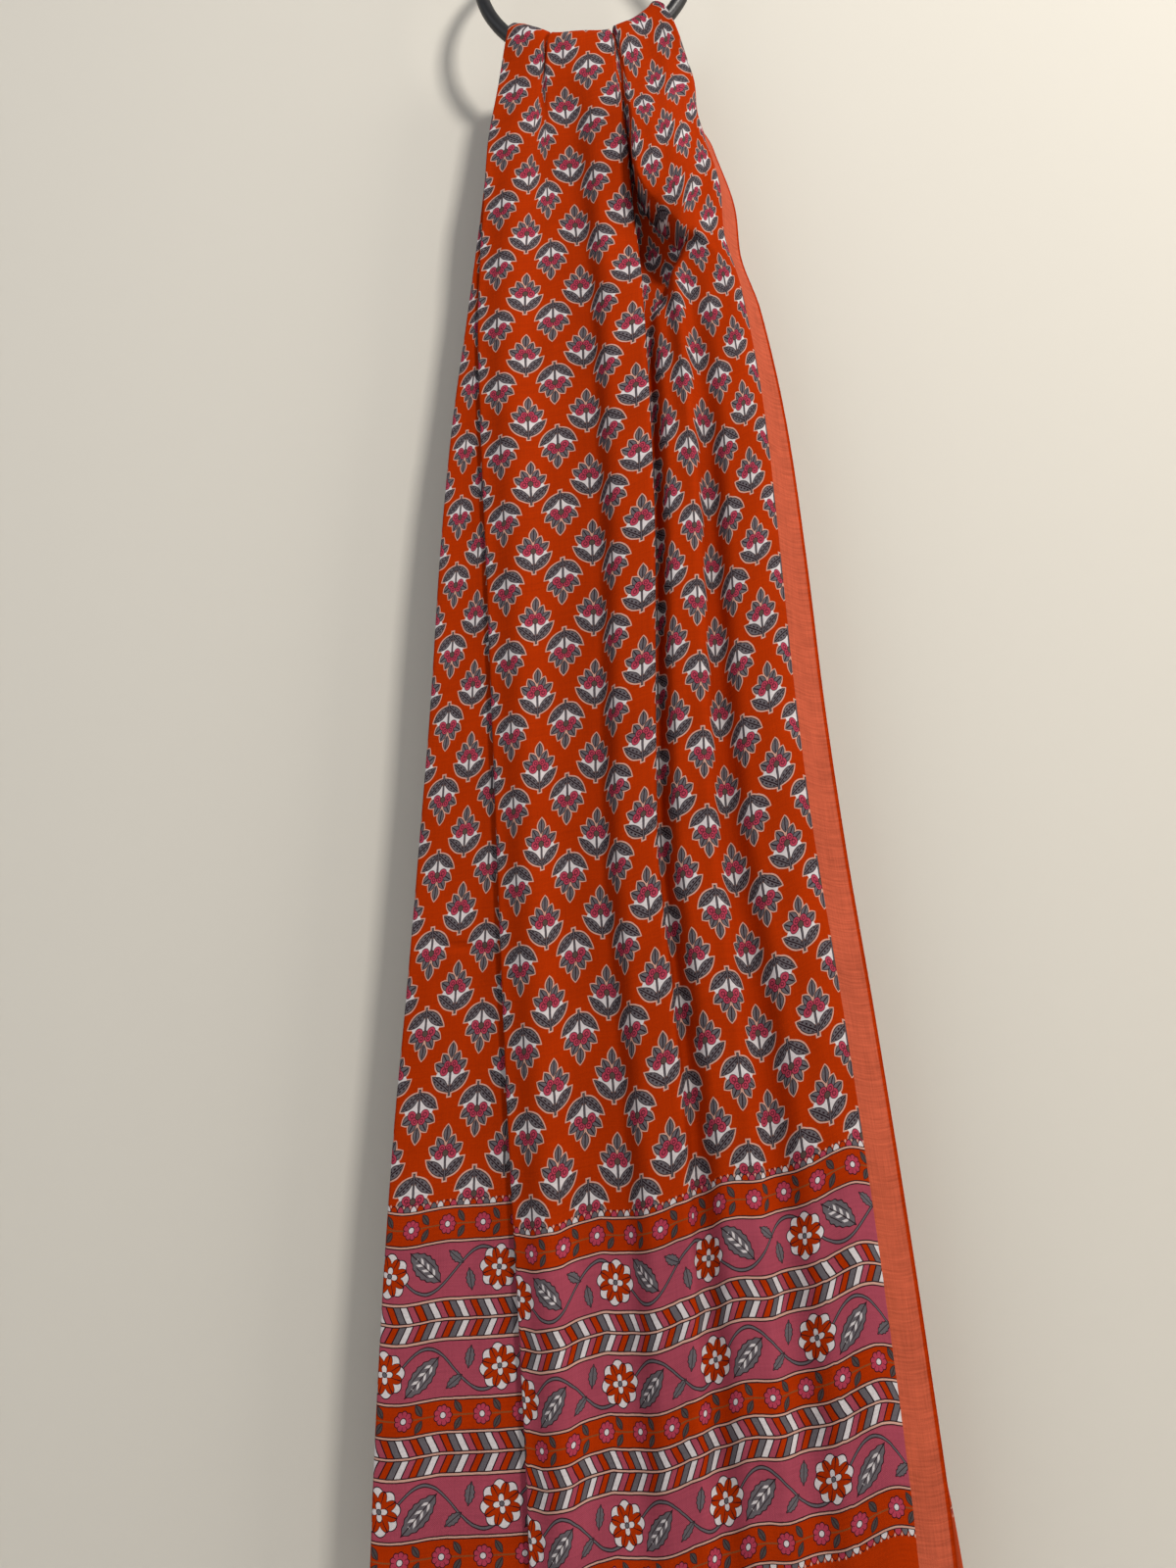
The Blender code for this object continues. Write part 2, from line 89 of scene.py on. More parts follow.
def put(tree, kind, sockets=(), **settings):
    """Add a node with its settings, and feed its sockets by name or number."""
    node = tree.nodes.new(kind)
    for label, value in settings.items():
        setattr(node, label, value)
    for label, value in dict(sockets).items():
        feed(node.inputs[label], value)
    return node


def principled(name, looks):
    """A new material, its node tree and its Principled shader with these values."""
    material = bpy.data.materials.new(name)
    material.use_nodes = True
    shader = material.node_tree.nodes["Principled BSDF"]
    for label, value in looks.items():
        feed(shader.inputs[label], value)
    return material, material.node_tree, shader


# %% [markdown]
# The picture is taken from about 0.8 m, a little right of the cloth's middle and from below its own
# middle, with a wide lens that looks up. This makes the top of the cloth narrow and the printed
# border large. The ring's arc fixed these values: it is round only from the right place.

# %% Camera at the picture's place
CAMERA_PLACE = (0.0689, -0.800, -0.9282)
CAMERA_UP = 12.4
CAMERA_LEFT = 5.0
LENS = 26.0

camera_data = bpy.data.cameras.new("camera")
camera_data.lens = LENS
camera = add_object("camera", camera_data)
camera.location = CAMERA_PLACE
camera.rotation_euler = (math.radians(90.0 + CAMERA_UP), 0.0, math.radians(CAMERA_LEFT))
scene.camera = camera
scene.view_settings.view_transform = "Standard"
print("camera", LENS, "mm lens")

# %% [markdown]
# The stage is a pale floor under the cloth and a pale wall behind it, so that the cloth throws a
# soft shadow as it would at home. The wall shows only from its front: from behind it is clear, so
# the back of the cloth can be looked at too. The main light is the smallest and stands high on the
# right. The other three are large and soft, and one of them lights the back.

# %% Stage and lights
FLOOR_DROP = 0.12
WALL_GAP = 0.0005
STAGE_SIZE = 8.0
FLOOR_COLOUR = (0.62, 0.61, 0.58, 1.0)
WALL_COLOUR = (0.60, 0.575, 0.52, 1.0)
SKY_COLOUR = (0.95, 0.96, 1.0, 1.0)
SKY_STRENGTH = 0.29
# Columns: name, place, height that it is aimed at, size, power, colour
LIGHTS = (
    ("key", (1.15, -1.75, 0.90), -0.5, 0.34, 52.0, (1.0, 0.955, 0.89)),
    ("side", (2.3, -1.1, 0.0), -0.5, 1.0, 20.0, (1.0, 0.94, 0.86)),
    ("fill", (-1.6, -1.8, -0.1), -0.8, 2.0, 12.0, (0.93, 0.96, 1.0)),
    ("back", (0.9, 2.0, 0.4), -0.6, 1.4, 22.0, (1.0, 0.97, 0.93)),
)


def make_plane(name, middle, turn, paint):
    """A flat square that belongs to the stage."""
    mesh = bpy.data.meshes.new(name)
    half = STAGE_SIZE / 2.0
    corners = [(-half, -half, 0.0), (half, -half, 0.0), (half, half, 0.0), (-half, half, 0.0)]
    mesh.from_pydata(corners, [], [(0, 1, 2, 3)])
    mesh.materials.append(paint)
    plane = add_object(name, mesh)
    plane.location = middle
    plane.rotation_euler = (turn, 0.0, 0.0)


floor_paint, _, _ = principled("floor_paint", {"Base Color": FLOOR_COLOUR})
wall_paint, tree, shader = principled("wall_paint", {"Base Color": WALL_COLOUR, "Roughness": 0.9})
behind = put(tree, "ShaderNodeNewGeometry")
clear = put(tree, "ShaderNodeBsdfTransparent")
choice = put(tree, "ShaderNodeMixShader", {0: behind.outputs["Backfacing"], 1: shader, 2: clear})
feed(tree.nodes["Material Output"].inputs["Surface"], choice)
make_plane("floor", (0.0, -1.0, packed_low.z - FLOOR_DROP), 0.0, floor_paint)
make_plane("wall", (0.0, packed_high.y + WALL_GAP, 0.0), math.pi / 2.0, wall_paint)

for name, place, aim_height, size, power, colour in LIGHTS:
    data = bpy.data.lights.new(name, "AREA")
    data.size = size
    data.energy = power
    data.color = colour
    light = add_object(name, data)
    light.location = place
    aim = mathutils.Vector([t - p for t, p in zip((0.0, 0.0, aim_height), place)])
    light.rotation_euler = aim.to_track_quat("-Z", "Y").to_euler()
world = bpy.data.worlds.new("soft_room")
world.use_nodes = True
sky = world.node_tree.nodes["Background"]
sky.inputs["Color"].default_value = SKY_COLOUR
sky.inputs["Strength"].default_value = SKY_STRENGTH
scene.world = world
print("stage: floor, wall,", len(LIGHTS), "lights")

# %% [markdown]
# The cloth is worked out the way it is folded. A place across the cloth is measured from its front
# fold: plus to the right over the front layer, minus back through the three layers behind. The
# sizes and short tables are those of the solid part, so the shell lies on the solid's own form.

# %% Sizes of the cloth and of its folds
STOLE_WIDTH = 1.000
STOLE_LENGTH = 2.300
BAND_WIDTH = 0.028
HEM_WIDTH = 0.005
FRONT_LAYER = 0.308
SECOND_LAYER = 0.2586
THIRD_LAYER = 0.350
FOURTH_LAYER = STOLE_WIDTH - FRONT_LAYER - SECOND_LAYER - THIRD_LAYER
RING_RADIUS = 0.0859
TUBE_RADIUS = 0.0054
RING_OFFSET = 0.050
FRONT_STRAND = 1.112
WRAP_TAIL = 0.024
BACK_FOLD_SHARE = 0.6
BACK_INSET = 0.035
OPENING_DROP = 0.25
EASE_LENGTH = 0.020
CLOSING_DROP = 0.30
CLOSED_RADIUS = 0.0015
FOLD_ROLL = 0.004
FLOOR_BLEND = 0.0015
DROP_STEP = 0.0025
DROP_LIMIT = 1.25
FRONT_SAMPLES = 305

EDGE_A = FRONT_LAYER
BAND_A = FRONT_LAYER - BAND_WIDTH
FRONT_FOLD = 0.0
RIGHT_FOLD = -SECOND_LAYER
LEFT_FOLD = RIGHT_FOLD - THIRD_LAYER
EDGE_B = LEFT_FOLD - FOURTH_LAYER
FOLDS = (FRONT_FOLD, RIGHT_FOLD, LEFT_FOLD)
VALLEY = 0.150

# Columns, in mm: height, left fold, front fold, main valley, right fold, edge A
OUTLINE = np.array((
    (-136, -51.0, -59.0, 25.5, 50.0, 64.0),
    (-160, -53.0, -61.5, 26.0, 58.0, 73.0),
    (-200, -60.0, -66.0, 29.0, 68.0, 83.0),
    (-260, -73.0, -74.0, 35.5, 84.0, 99.0),
    (-320, -79.0, -76.3, 39.0, 96.0, 114.8),
    (-350, -82.0, -77.5, 41.5, 102.0, 116.5),
    (-400, -87.0, -78.2, 45.5, 112.0, 130.0),
    (-500, -97.0, -74.0, 50.5, 126.0, 146.0),
    (-600, -102.6, -68.0, 53.0, 138.0, 155.0),
    (-700, -105.7, -62.5, 52.5, 148.5, 162.3),
    (-800, -110.5, -57.0, 53.0, 158.0, 172.0),
    (-900, -115.8, -51.5, 62.5, 169.0, 184.0),
    (-1000, -121.7, -45.3, 71.2, 180.0, 195.0),
    (-1100, -125.0, -38.0, 76.5, 196.0, 205.0),
    (-1200, -126.3, -31.5, 82.0, 215.0, 213.5),
    (-1320, -126.0, -25.5, 88.0, 228.0, 219.0),
))[::-1] / 1000.0

# Distance from the ring's tube of the front, second, third and fourth layer: at the ring, lower down
LAYER_DEPTHS = np.array(((0.0053, 0.0124), (0.0038, 0.0091), (0.0023, 0.0058), (0.0008, 0.0025)))
DEPTH_DROP = 0.50
INNER_SPREAD = (0.62, 1.00)

# Lengthwise flanks: name, start, end, then the steepest tilt in degrees at each level
LEVEL_DROPS = (0.0, 0.07, 0.125, 0.175, 0.26, 0.45, 0.80, 1.13)
FLANKS = (
    ("left swell rise", 0.004, 0.030, 10, 20, 22, 24, 26, 28, 30, 18),
    ("left swell fall", 0.030, 0.058, -10, -20, -22, -24, -26, -28, -30, -18),
    ("crest lobe rise", 0.064, 0.096, 9, 0, 0, 0, 0, 0, 0, 0),
    ("crest lobe fall", 0.100, 0.132, -9, 0, 0, 0, 0, 0, 0, 0),
    ("main ridge rise", 0.085, 0.113, 0, 40, 48, 52, 56, 62, 52, 8),
    ("main ridge fall", 0.134, 0.150, 0, -90, -110, -120, -115, -110, -74, -14),
    ("second ridge rise", 0.150, 0.174, 9, 75, 75, 10, 55, 72, 56, 12),
    ("hollow side rise", 0.178, 0.204, 0, 0, 10, 66, 34, 0, 0, 0),
    ("second ridge fall", 0.192, 0.216, -9, -20, -10, 0, -40, -72, -52, -14),
    ("third ridge rise", 0.216, 0.240, 0, 0, 0, 0, 20, 55, 42, 16),
    ("edge turn", 0.256, 0.332, -6, -44, -42, -34, -30, -30, -28, -14),
)

# How much of its width each stretch keeps on the ring: up to, share
GATHER = ((0.040, 0.75), (0.070, 0.13), (0.128, 0.845), (0.150, 0.10),
          (0.180, 0.08), (0.240, 0.52), (0.308, 0.07))

# How much longer than FRONT_STRAND the front fall is: place, extra
STRAND_EXTRA = (
    (EDGE_B, 0.015), (LEFT_FOLD, 0.029), (LEFT_FOLD + 0.050, 0.014), (LEFT_FOLD + 0.150, -0.003),
    (RIGHT_FOLD, -0.011), (RIGHT_FOLD + 0.150, 0.020), (FRONT_FOLD, 0.044), (0.014, 0.038),
    (0.030, 0.028), (0.050, 0.019), (0.095, 0.009), (0.150, 0.002), (0.200, -0.001),
    (0.240, 0.004), (EDGE_A, -0.006),
)
print("cloth", STOLE_WIDTH, "x", STOLE_LENGTH, "m, layers", FRONT_LAYER, SECOND_LAYER, THIRD_LAYER)

# %% [markdown]
# The helpers here turn the tables into places. A cubic runs through the rows of a table and never
# overshoots them. The ring gives the height where the cloth lies on it, and a section gives, for
# any drop below the ring, how far left or right and how far out each place across the cloth hangs.

# %% Places across the folded cloth


def smooth_through(knots, values, at):
    """A cubic through the rows of a table that never overshoots them."""
    knots = np.asarray(knots, float)
    values = np.asarray(values, float)
    step = np.diff(knots)
    slope = np.diff(values) / step
    same_way = slope[:-1] * slope[1:] > 0.0
    before = np.where(same_way, slope[:-1], 1.0)
    after = np.where(same_way, slope[1:], 1.0)
    inner = np.where(same_way, 2.0 * before * after / (before + after), 0.0)
    tangent = np.concatenate((slope[:1], inner, slope[-1:]))
    at = np.clip(at, knots[0], knots[-1])
    cell = np.clip(np.searchsorted(knots, at, side="right") - 1, 0, len(step) - 1)
    share = (at - knots[cell]) / step[cell]
    rise = share * share * (3.0 - 2.0 * share)
    lead = share * (1.0 - share) ** 2 * step[cell]
    trail = share ** 2 * (share - 1.0) * step[cell]
    bend = tangent[cell] * lead + tangent[cell + 1] * trail
    return values[cell] * (1.0 - rise) + values[cell + 1] * rise + bend


def smooth_step(value):
    value = np.clip(value, 0.0, 1.0)
    return value * value * (3.0 - 2.0 * value)


def blend(pair, share):
    """From the first number of a pair to the second."""
    return pair[0] + (pair[1] - pair[0]) * share


def ring_height(x):
    """The height of the tube's centre line on the lower half of the ring."""
    return -RING_RADIUS - np.sqrt(RING_RADIUS ** 2 - np.square(x))


def fold_places(drop):
    """The x of each column of OUTLINE, this far below the ring."""
    places = []
    for column in OUTLINE.T[1:]:
        top = ring_height(column[-1])
        on_ring, here = smooth_through(OUTLINE[:, 0], column, np.array((top, top - drop)))
        places.append(here + (column[-1] - on_ring) * math.exp(-drop / EASE_LENGTH))
    return places


def tilt(places, drop, fold_share):
    """The tilt of the front layer at places across it, in radians."""
    eased = drop - EASE_LENGTH * (1.0 - math.exp(-drop / EASE_LENGTH))
    total = np.zeros_like(places)
    for _, start, end, *angles in FLANKS:
        steepest = float(smooth_through(LEVEL_DROPS, angles, eased))
        share = np.clip((places - start) / (end - start), 0.0, 1.0)
        total += math.radians(steepest) * fold_share * np.sin(math.pi * share)
    return total


def gather_share(places, drop):
    """The share of its width that the front layer keeps at places across it."""
    ends, shares = np.transpose(GATHER)
    kept = shares[np.clip(np.searchsorted(ends, places), 0, len(ends) - 1)]
    return blend((kept, 1.0), float(smooth_step(drop / OPENING_DROP)))


def front_layer(places, drop, fold_share, left, valley, right):
    """x and height above its own floor of the front layer, from its fold to edge A."""
    fine = np.linspace(FOLD_ROLL, FRONT_LAYER, FRONT_SAMPLES)
    middle = (fine[:-1] + fine[1:]) / 2.0
    angle = tilt(middle, drop, fold_share)
    kept = gather_share(middle, drop) * (fine[1] - fine[0])
    across = np.concatenate(([0.0], np.cumsum(kept * np.cos(angle))))
    above = np.concatenate(([0.0], np.cumsum(kept * np.sin(angle))))
    at_valley = float(np.interp(VALLEY, fine, across))
    across = np.where(fine <= VALLEY,
                      left + across * (valley - left) / at_valley,
                      valley + (across - at_valley) * (right - valley) / (across[-1] - at_valley))
    above -= above[-1] * (fine - fine[0]) / (fine[-1] - fine[0])
    above = 0.5 * (above + np.sqrt(above ** 2 + FLOOR_BLEND ** 2)) - 0.5 * FLOOR_BLEND
    return np.interp(places, fine, across), np.interp(places, fine, above)


def section(places, drop, fold_share):
    """x and distance from the tube's surface of the folded cloth, this far below the ring."""
    left, front, valley, right, edge = fold_places(drop)
    lower = float(smooth_step(drop / DEPTH_DROP))
    depths = blend(LAYER_DEPTHS.T, lower)
    rolls = (depths[:-1] - depths[1:]) / 2.0
    centres = (front + rolls[0], right - rolls[1], left + rolls[2])
    x = np.zeros_like(places)
    away = np.zeros_like(places)

    on_front = places >= FOLD_ROLL
    x[on_front], above = front_layer(places[on_front], drop, fold_share, centres[0], valley, edge)
    away[on_front] = depths[0] + above
    for layer, (fold, side) in enumerate(zip(FOLDS, (-1.0, 1.0, -1.0))):
        rolled = np.abs(places - fold) < FOLD_ROLL
        turn = (places[rolled] - fold) / FOLD_ROLL * math.pi / 2.0
        x[rolled] = centres[layer] + side * rolls[layer] * np.cos(turn)
        away[rolled] = (depths[layer] + depths[layer + 1]) / 2.0 + rolls[layer] * np.sin(turn)
    for layer in (0, 1):
        start = FOLDS[layer + 1] + FOLD_ROLL
        end = FOLDS[layer] - FOLD_ROLL
        flat = (places >= start) & (places <= end)
        x[flat] = blend((centres[layer + 1], centres[layer]), (places[flat] - start) / (end - start))
        away[flat] = depths[layer + 1]
    inner = places <= LEFT_FOLD - FOLD_ROLL
    share = (LEFT_FOLD - FOLD_ROLL - places[inner]) / (FOURTH_LAYER - FOLD_ROLL)
    x[inner] = centres[2] + FOURTH_LAYER * blend(INNER_SPREAD, lower) * share
    away[inner] = depths[3]
    return x, away


def fall_reach(drop):
    """How far a fall's inner side hangs from the ring's plane: the two falls close up lower down."""
    return blend((TUBE_RADIUS, CLOSED_RADIUS), float(smooth_step(drop / CLOSING_DROP)))


def strand_extra(places):
    """The extra length of the front fall, level round each lengthwise fold."""
    places = np.array(places, float)
    for fold in FOLDS:
        places[np.abs(places - fold) <= FOLD_ROLL] = fold
    return smooth_through(*np.transpose(STRAND_EXTRA), places)


# %% [markdown]
# Three soft forms are larger than creases and smaller than folds. Where the cloth is gathered on
# the ring it swells into lobes with grooves between them. Near the ring the free edge is turned
# under. And below the right lobe the cloth sags into a pouch, whose lower lip hangs over a hollow.

# %% Lobes, turned edge and pouch
# Columns: start, end, height
LOBES = ((0.002, 0.052, 0.0026), (0.058, 0.140, 0.0032), (0.170, 0.268, 0.0040))
LOBE_SIDE = 0.012
LOBE_DROP = 0.075
TURN_START = 0.240
TURN_CREST = 0.35
TURN_DROPS = (0.062, 0.118)
TURN_BACK = 0.016
TURN_DEPTH = 0.0068
# Each mask: start, end, and the width of its soft side at each
POUCH_MASK = (VALLEY, 0.262, 0.010, 0.050)
POUCH_DROP = 0.106
POUCH_SLOPE = 1.20
POUCH_LIP = 0.008
POUCH_SWELL = 0.0135
SWELL_DROP = 0.030
SWELL_RUN = 0.080
HOLLOW_MASK = (0.144, 0.232, 0.005, 0.022)
HOLLOW_DEPTH = 0.0260
HOLLOW_END = 0.232
HOLLOW_RUN = 0.030
HOLLOW_FLOOR = 0.0012
SAG_MASK = (VALLEY, 0.240, 0.010, 0.020)
SAG = 0.014
SAG_RUN = 0.050
SAG_RETURN = 0.012
DENT = 0.0125
# Columns: x and z of its middle, then its half width and half height
DENT_PLACE = (0.054, -0.340, 0.026, 0.048)


def stretch_mask(places, start, end, side_start, side_end):
    """A soft mask that is 1 over a stretch of the cloth."""
    return smooth_step((places - start) / side_start) * smooth_step((end - places) / side_end)


def lobe_height(places, drop):
    lobes = [height * stretch_mask(places, start, end, LOBE_SIDE, LOBE_SIDE) for start, end, height in LOBES]
    return sum(lobes) * (1.0 - float(smooth_step(drop / LOBE_DROP)))


def below_lip(places, drop):
    """How far below the pouch's slanted lip a place lies."""
    return drop - POUCH_DROP - POUCH_SLOPE * (places - VALLEY)


def pouch_height(places, drop):
    rise = POUCH_SLOPE * (places - VALLEY)
    turned = smooth_step(below_lip(places, drop) / POUCH_LIP)
    swell = (1.0 - turned) * smooth_step((drop - SWELL_DROP) / SWELL_RUN)
    hollow = turned * (1.0 - smooth_step((drop - HOLLOW_END + rise / 2.0) / HOLLOW_RUN))
    return (POUCH_SWELL * swell * stretch_mask(places, *POUCH_MASK)
            - HOLLOW_DEPTH * hollow * stretch_mask(places, *HOLLOW_MASK))


def pouch_sag(places, drop):
    """How far the pouch hangs below the place where the cloth turns back under it."""
    below = below_lip(places, drop)
    hang = smooth_step(1.0 + below / SAG_RUN) * (1.0 - smooth_step(below / SAG_RETURN))
    return SAG * hang * stretch_mask(places, *SAG_MASK)


def dent(x, z):
    """Behind the hollow every layer stands back, so each keeps its distance from the next."""
    middle_x, middle_z, half_width, half_height = DENT_PLACE
    return DENT * np.exp(-((x - middle_x) / half_width) ** 2 - ((z - middle_z) / half_height) ** 2)


def turn_edge_under(places, drop, x, away):
    """Near the ring, roll the strip at the free edge back under the front layer."""
    share = 1.0 - float(smooth_step((drop - TURN_DROPS[0]) / (TURN_DROPS[1] - TURN_DROPS[0])))
    turned = places > TURN_START
    if share == 0.0 or not turned.any():
        return x, away
    spent = (places[turned] - TURN_START) / (EDGE_A - TURN_START)
    crest = np.sin(math.pi / 2.0 * np.clip(spent / TURN_CREST, 0.0, 1.0))
    out = blend((x[~turned].max(), x[turned].max()), crest)
    back = TURN_BACK * smooth_step((spent - TURN_CREST) / (1.0 - TURN_CREST))
    low = blend((away[turned][0], TURN_DEPTH), smooth_step(2.0 * spent))
    x[turned] += share * (out - back - x[turned])
    away[turned] += share * (low - away[turned])
    return x, away


def dressed_section(places, drop, fold_share, front):
    """The folded section with its lobes and its turned edge, and at the front its pouch."""
    x, away = turn_edge_under(places, drop, *section(places, drop, fold_share))
    away = away + lobe_height(places, drop)
    if front:
        floor_away = blend(LAYER_DEPTHS[1], float(smooth_step(drop / DEPTH_DROP))) + HOLLOW_FLOOR
        away = np.maximum(away + pouch_height(places, drop), np.minimum(away, floor_away))
    return x, away


# %% [markdown]
# A strand is one thread down the cloth. Its length along its own folds says where the print falls on
# it. What the pouch takes is drawn half from above it and half from below, and neighbouring strands
# share it, so the print shears softly and has no step in it.

# %% Falls of the cloth
TAKEN_DROP = 0.30
SHARED_REACH = 0.020
EASED_DROP = 0.42


def read_columns(at, knots, values):
    """Read the table of each column at its own value."""
    return np.array([np.interp(*row) for row in zip(at, knots.T, values.T)])


def read_points(at, knots, points):
    """A point for each column, where its knots reach its own value."""
    return np.stack([read_columns(at, knots, points[..., axis]) for axis in range(3)], axis=1)


def run_of(points):
    """How far each strand has run at each of its points."""
    steps = np.linalg.norm(np.diff(points, axis=0), axis=2)
    return np.vstack([np.zeros(points.shape[1]), np.cumsum(steps, axis=0)])


def shared_right(places, taken):
    """Right of the valley, each strand's share of what it and its neighbours take."""
    near = np.exp(-((places[:, None] - places) / SHARED_REACH) ** 2)
    right = places >= VALLEY
    near = np.where(right[:, None] & right, near, np.eye(len(places)))
    return taken @ (near / near.sum(axis=1, keepdims=True)).T


class Fall:
    """One fall below the ring: its points and strand lengths at each place and drop."""

    def __init__(self, places, side, fold_share, inset):
        drops = np.arange(0.0, DROP_LIMIT + DROP_STEP / 2.0, DROP_STEP)
        top = ring_height(dressed_section(places, 0.0, 1.0, False)[0])
        rows, plain_rows = [], []
        front = side < 0.0
        for drop in drops:
            lower = float(smooth_step((drop - WRAP_TAIL) / OPENING_DROP))
            share = blend((1.0, fold_share), lower)
            sag = pouch_sag(places, drop) if front else 0.0
            for kept, sagged, (x, away) in ((rows, sag, dressed_section(places, drop, share, front)),
                                            (plain_rows, 0.0, section(places, drop, share))):
                y = -RING_OFFSET + side * (fall_reach(drop) + away) + dent(x, top - drop)
                kept.append(np.stack([x * (1.0 - inset * lower), y, top - drop - sagged], axis=1))
        self.points = np.array(rows)
        plain = run_of(np.array(plain_rows))
        taken = shared_right(places, run_of(self.points) - plain)
        self.drops = np.broadcast_to(drops[:, None], plain.shape)
        spared = taken[int(TAKEN_DROP / DROP_STEP)] / 2.0 * smooth_step(self.drops / POUCH_DROP)
        eased = 1.0 - smooth_step((self.drops - POUCH_DROP) / EASED_DROP)
        self.lengths = plain + (taken - spared) * eased


def wrap_row(places, turn):
    """One row of points on the stretch over the ring; the turn is +90 degrees at the front."""
    x, away = dressed_section(places, 0.0, 1.0, False)
    lean = np.arcsin(x / RING_RADIUS)
    reach = TUBE_RADIUS + away
    radius = RING_RADIUS - reach * math.cos(turn)
    y = -RING_OFFSET - reach * math.sin(turn)
    return np.stack([radius * np.sin(lean), y, -RING_RADIUS - radius * np.cos(lean)], axis=1)


print("folds at the ring in mm", [round(place * 1000) for place in fold_places(0.0)])

# %% [markdown]
# Real cotton also keeps small creases from its packing and from the way it is gathered on the
# ring. Each row of the table is one soft trough or ridge that runs down the cloth and wanders a
# little. They differ in length, depth and spacing, on the front and on the hidden sides alike. One
# sharp line crosses the left panel, where the cloth lay folded in its packing.

# %% Small creases
# Columns, in mm: place across, shift to its lower end, top drop, lower drop, width, depth (plus is a ridge)
CREASES = np.array((
    (55, -4, -12, 62, 5, -2.6),
    (46, -8, 0, 150, 6, 1.1),
    (70, 6, 0, 120, 6, 1.2),
    (152, -2, -12, 52, 5, -2.4),
    (165, 10, -10, 110, 6, 1.6),
    (196, -10, 5, 130, 7, -1.0),
    (226, 6, -5, 140, 8, 1.1),
    (262, 4, 0, 120, 6, -1.2),
    (20, 4, 60, 420, 8, 0.7),
    (72, -6, 140, 560, 9, -0.8),
    (120, 4, 300, 800, 8, 0.6),
    (62, 10, 500, 1020, 12, -0.7),
    (26, -6, 520, 940, 9, -0.5),
    (96, 8, 640, 1100, 14, -0.8),
    (136, 6, 760, 1120, 9, 0.6),
    (180, 10, 420, 900, 8, -0.8),
    (206, -8, 700, 1100, 11, 0.7),
    (238, 6, 360, 860, 9, -0.9),
    (262, -4, 540, 1060, 8, 0.6),
    (292, 2, 200, 620, 6, -0.7),
    (296, -4, 600, 1080, 8, 0.6),
    (-580, 12, 40, 420, 8, -0.9),
    (-566, -6, 300, 860, 9, 0.8),
    (-590, 4, 560, 1080, 10, 1.0),
    (-552, 8, 620, 1100, 8, -0.8),
    (-230, 10, 300, 1000, 14, -1.0),
    (-180, -10, 400, 1060, 16, 0.9),
)) / 1000.0
# Sideways wander of a crease: reach, turns by drop, shift from one row to the next
WANDER = (0.0022, 17.0, 2.3)
CREASE_SWELL = 0.7
CREASE_AT_RING = 0.45
SETTLE_DROP = 0.30
PACKED_DROP = 0.707
PACKED_WIDTH = 0.0042
PACKED_DEPTH = 0.0024
PACKED_MASK = (LEFT_FOLD, -0.500, 0.004, 0.030)


def crease_height(places, drops, phase):
    """How far the small creases lift the cloth at places across it and drops down it."""
    lift = np.zeros(np.broadcast(places, drops).shape)
    reach, turns, shift_by_row = WANDER
    for row, (place, shift, top, low, width, depth) in enumerate(CREASES):
        along = (drops - top) / (low - top)
        inside = np.clip(along, 0.0, 1.0)
        path = place + shift * inside + reach * np.sin(turns * drops + shift_by_row * row + phase)
        swell = np.sin(math.pi * inside) ** CREASE_SWELL * (along > 0.0) * (along < 1.0)
        lift += depth * swell * np.exp(-((places - path) / width) ** 2)
    below = (drops - PACKED_DROP) / PACKED_WIDTH
    return lift - PACKED_DEPTH * below * np.exp(-below * below) * stretch_mask(places, *PACKED_MASK)


print(len(CREASES), "creases on each fall")

# %% [markdown]
# The shell is a grid: columns follow the threads down the cloth, rows run across it. Columns are
# close together on the layers that show and wide apart where a layer is hidden. Each point also
# keeps its place on the flat cloth, across and along in metres, as its UV. The print and the weave
# read that, so they fold with the cloth.

# %% Columns and rows of the cloth's grid
FRONT_STEP = 0.0023
PANEL_STEP = 0.0034
HIDDEN_STEP = 0.0120
PANEL_SHOWN = 0.090
ROLL_STEP = FOLD_ROLL / 3.0
CLOSE_ROWS = 84
CLOSE_DROP = 0.24
OPEN_ROWS = 104
WRAP_STEPS = 18
TAIL_STEPS = 4
SHELL = 0.0005


def between(start, end, step):
    """Evenly spaced places from start up to, but without, the end."""
    return list(np.linspace(start, end, max(1, round((end - start) / step)) + 1)[:-1])


def cloth_columns():
    """All columns from edge B, through the four layers, to edge A."""
    stops = ((EDGE_B, HIDDEN_STEP), (LEFT_FOLD - FOLD_ROLL, ROLL_STEP), (LEFT_FOLD + FOLD_ROLL, PANEL_STEP),
             (LEFT_FOLD + PANEL_SHOWN, HIDDEN_STEP), (RIGHT_FOLD - FOLD_ROLL, ROLL_STEP),
             (RIGHT_FOLD + FOLD_ROLL, HIDDEN_STEP), (FRONT_FOLD - FOLD_ROLL, ROLL_STEP),
             (FRONT_FOLD + FOLD_ROLL, FRONT_STEP), (BAND_A, FRONT_STEP), (EDGE_A, 0.0))
    places = [between(start, end, step) for (start, step), (end, _) in zip(stops, stops[1:])]
    return np.array(sum(places, []) + [EDGE_A])


def wrap_length():
    """The length of cloth over the ring, along the middle of the folded layers."""
    return math.pi * (TUBE_RADIUS + LAYER_DEPTHS[1, 0])


def front_length(places):
    return FRONT_STRAND + strand_extra(places)


def row_shares():
    """Rows are close together near the ring and at the packing crease, where the cloth has tight forms."""
    close = CLOSE_DROP / FRONT_STRAND
    shares = between(0.0, close, close / CLOSE_ROWS) + list(np.linspace(close, 1.0, OPEN_ROWS))
    packed = PACKED_DROP / FRONT_STRAND
    return sorted(shares + [packed + step * PACKED_WIDTH / 2.0 for step in range(-4, 5)])


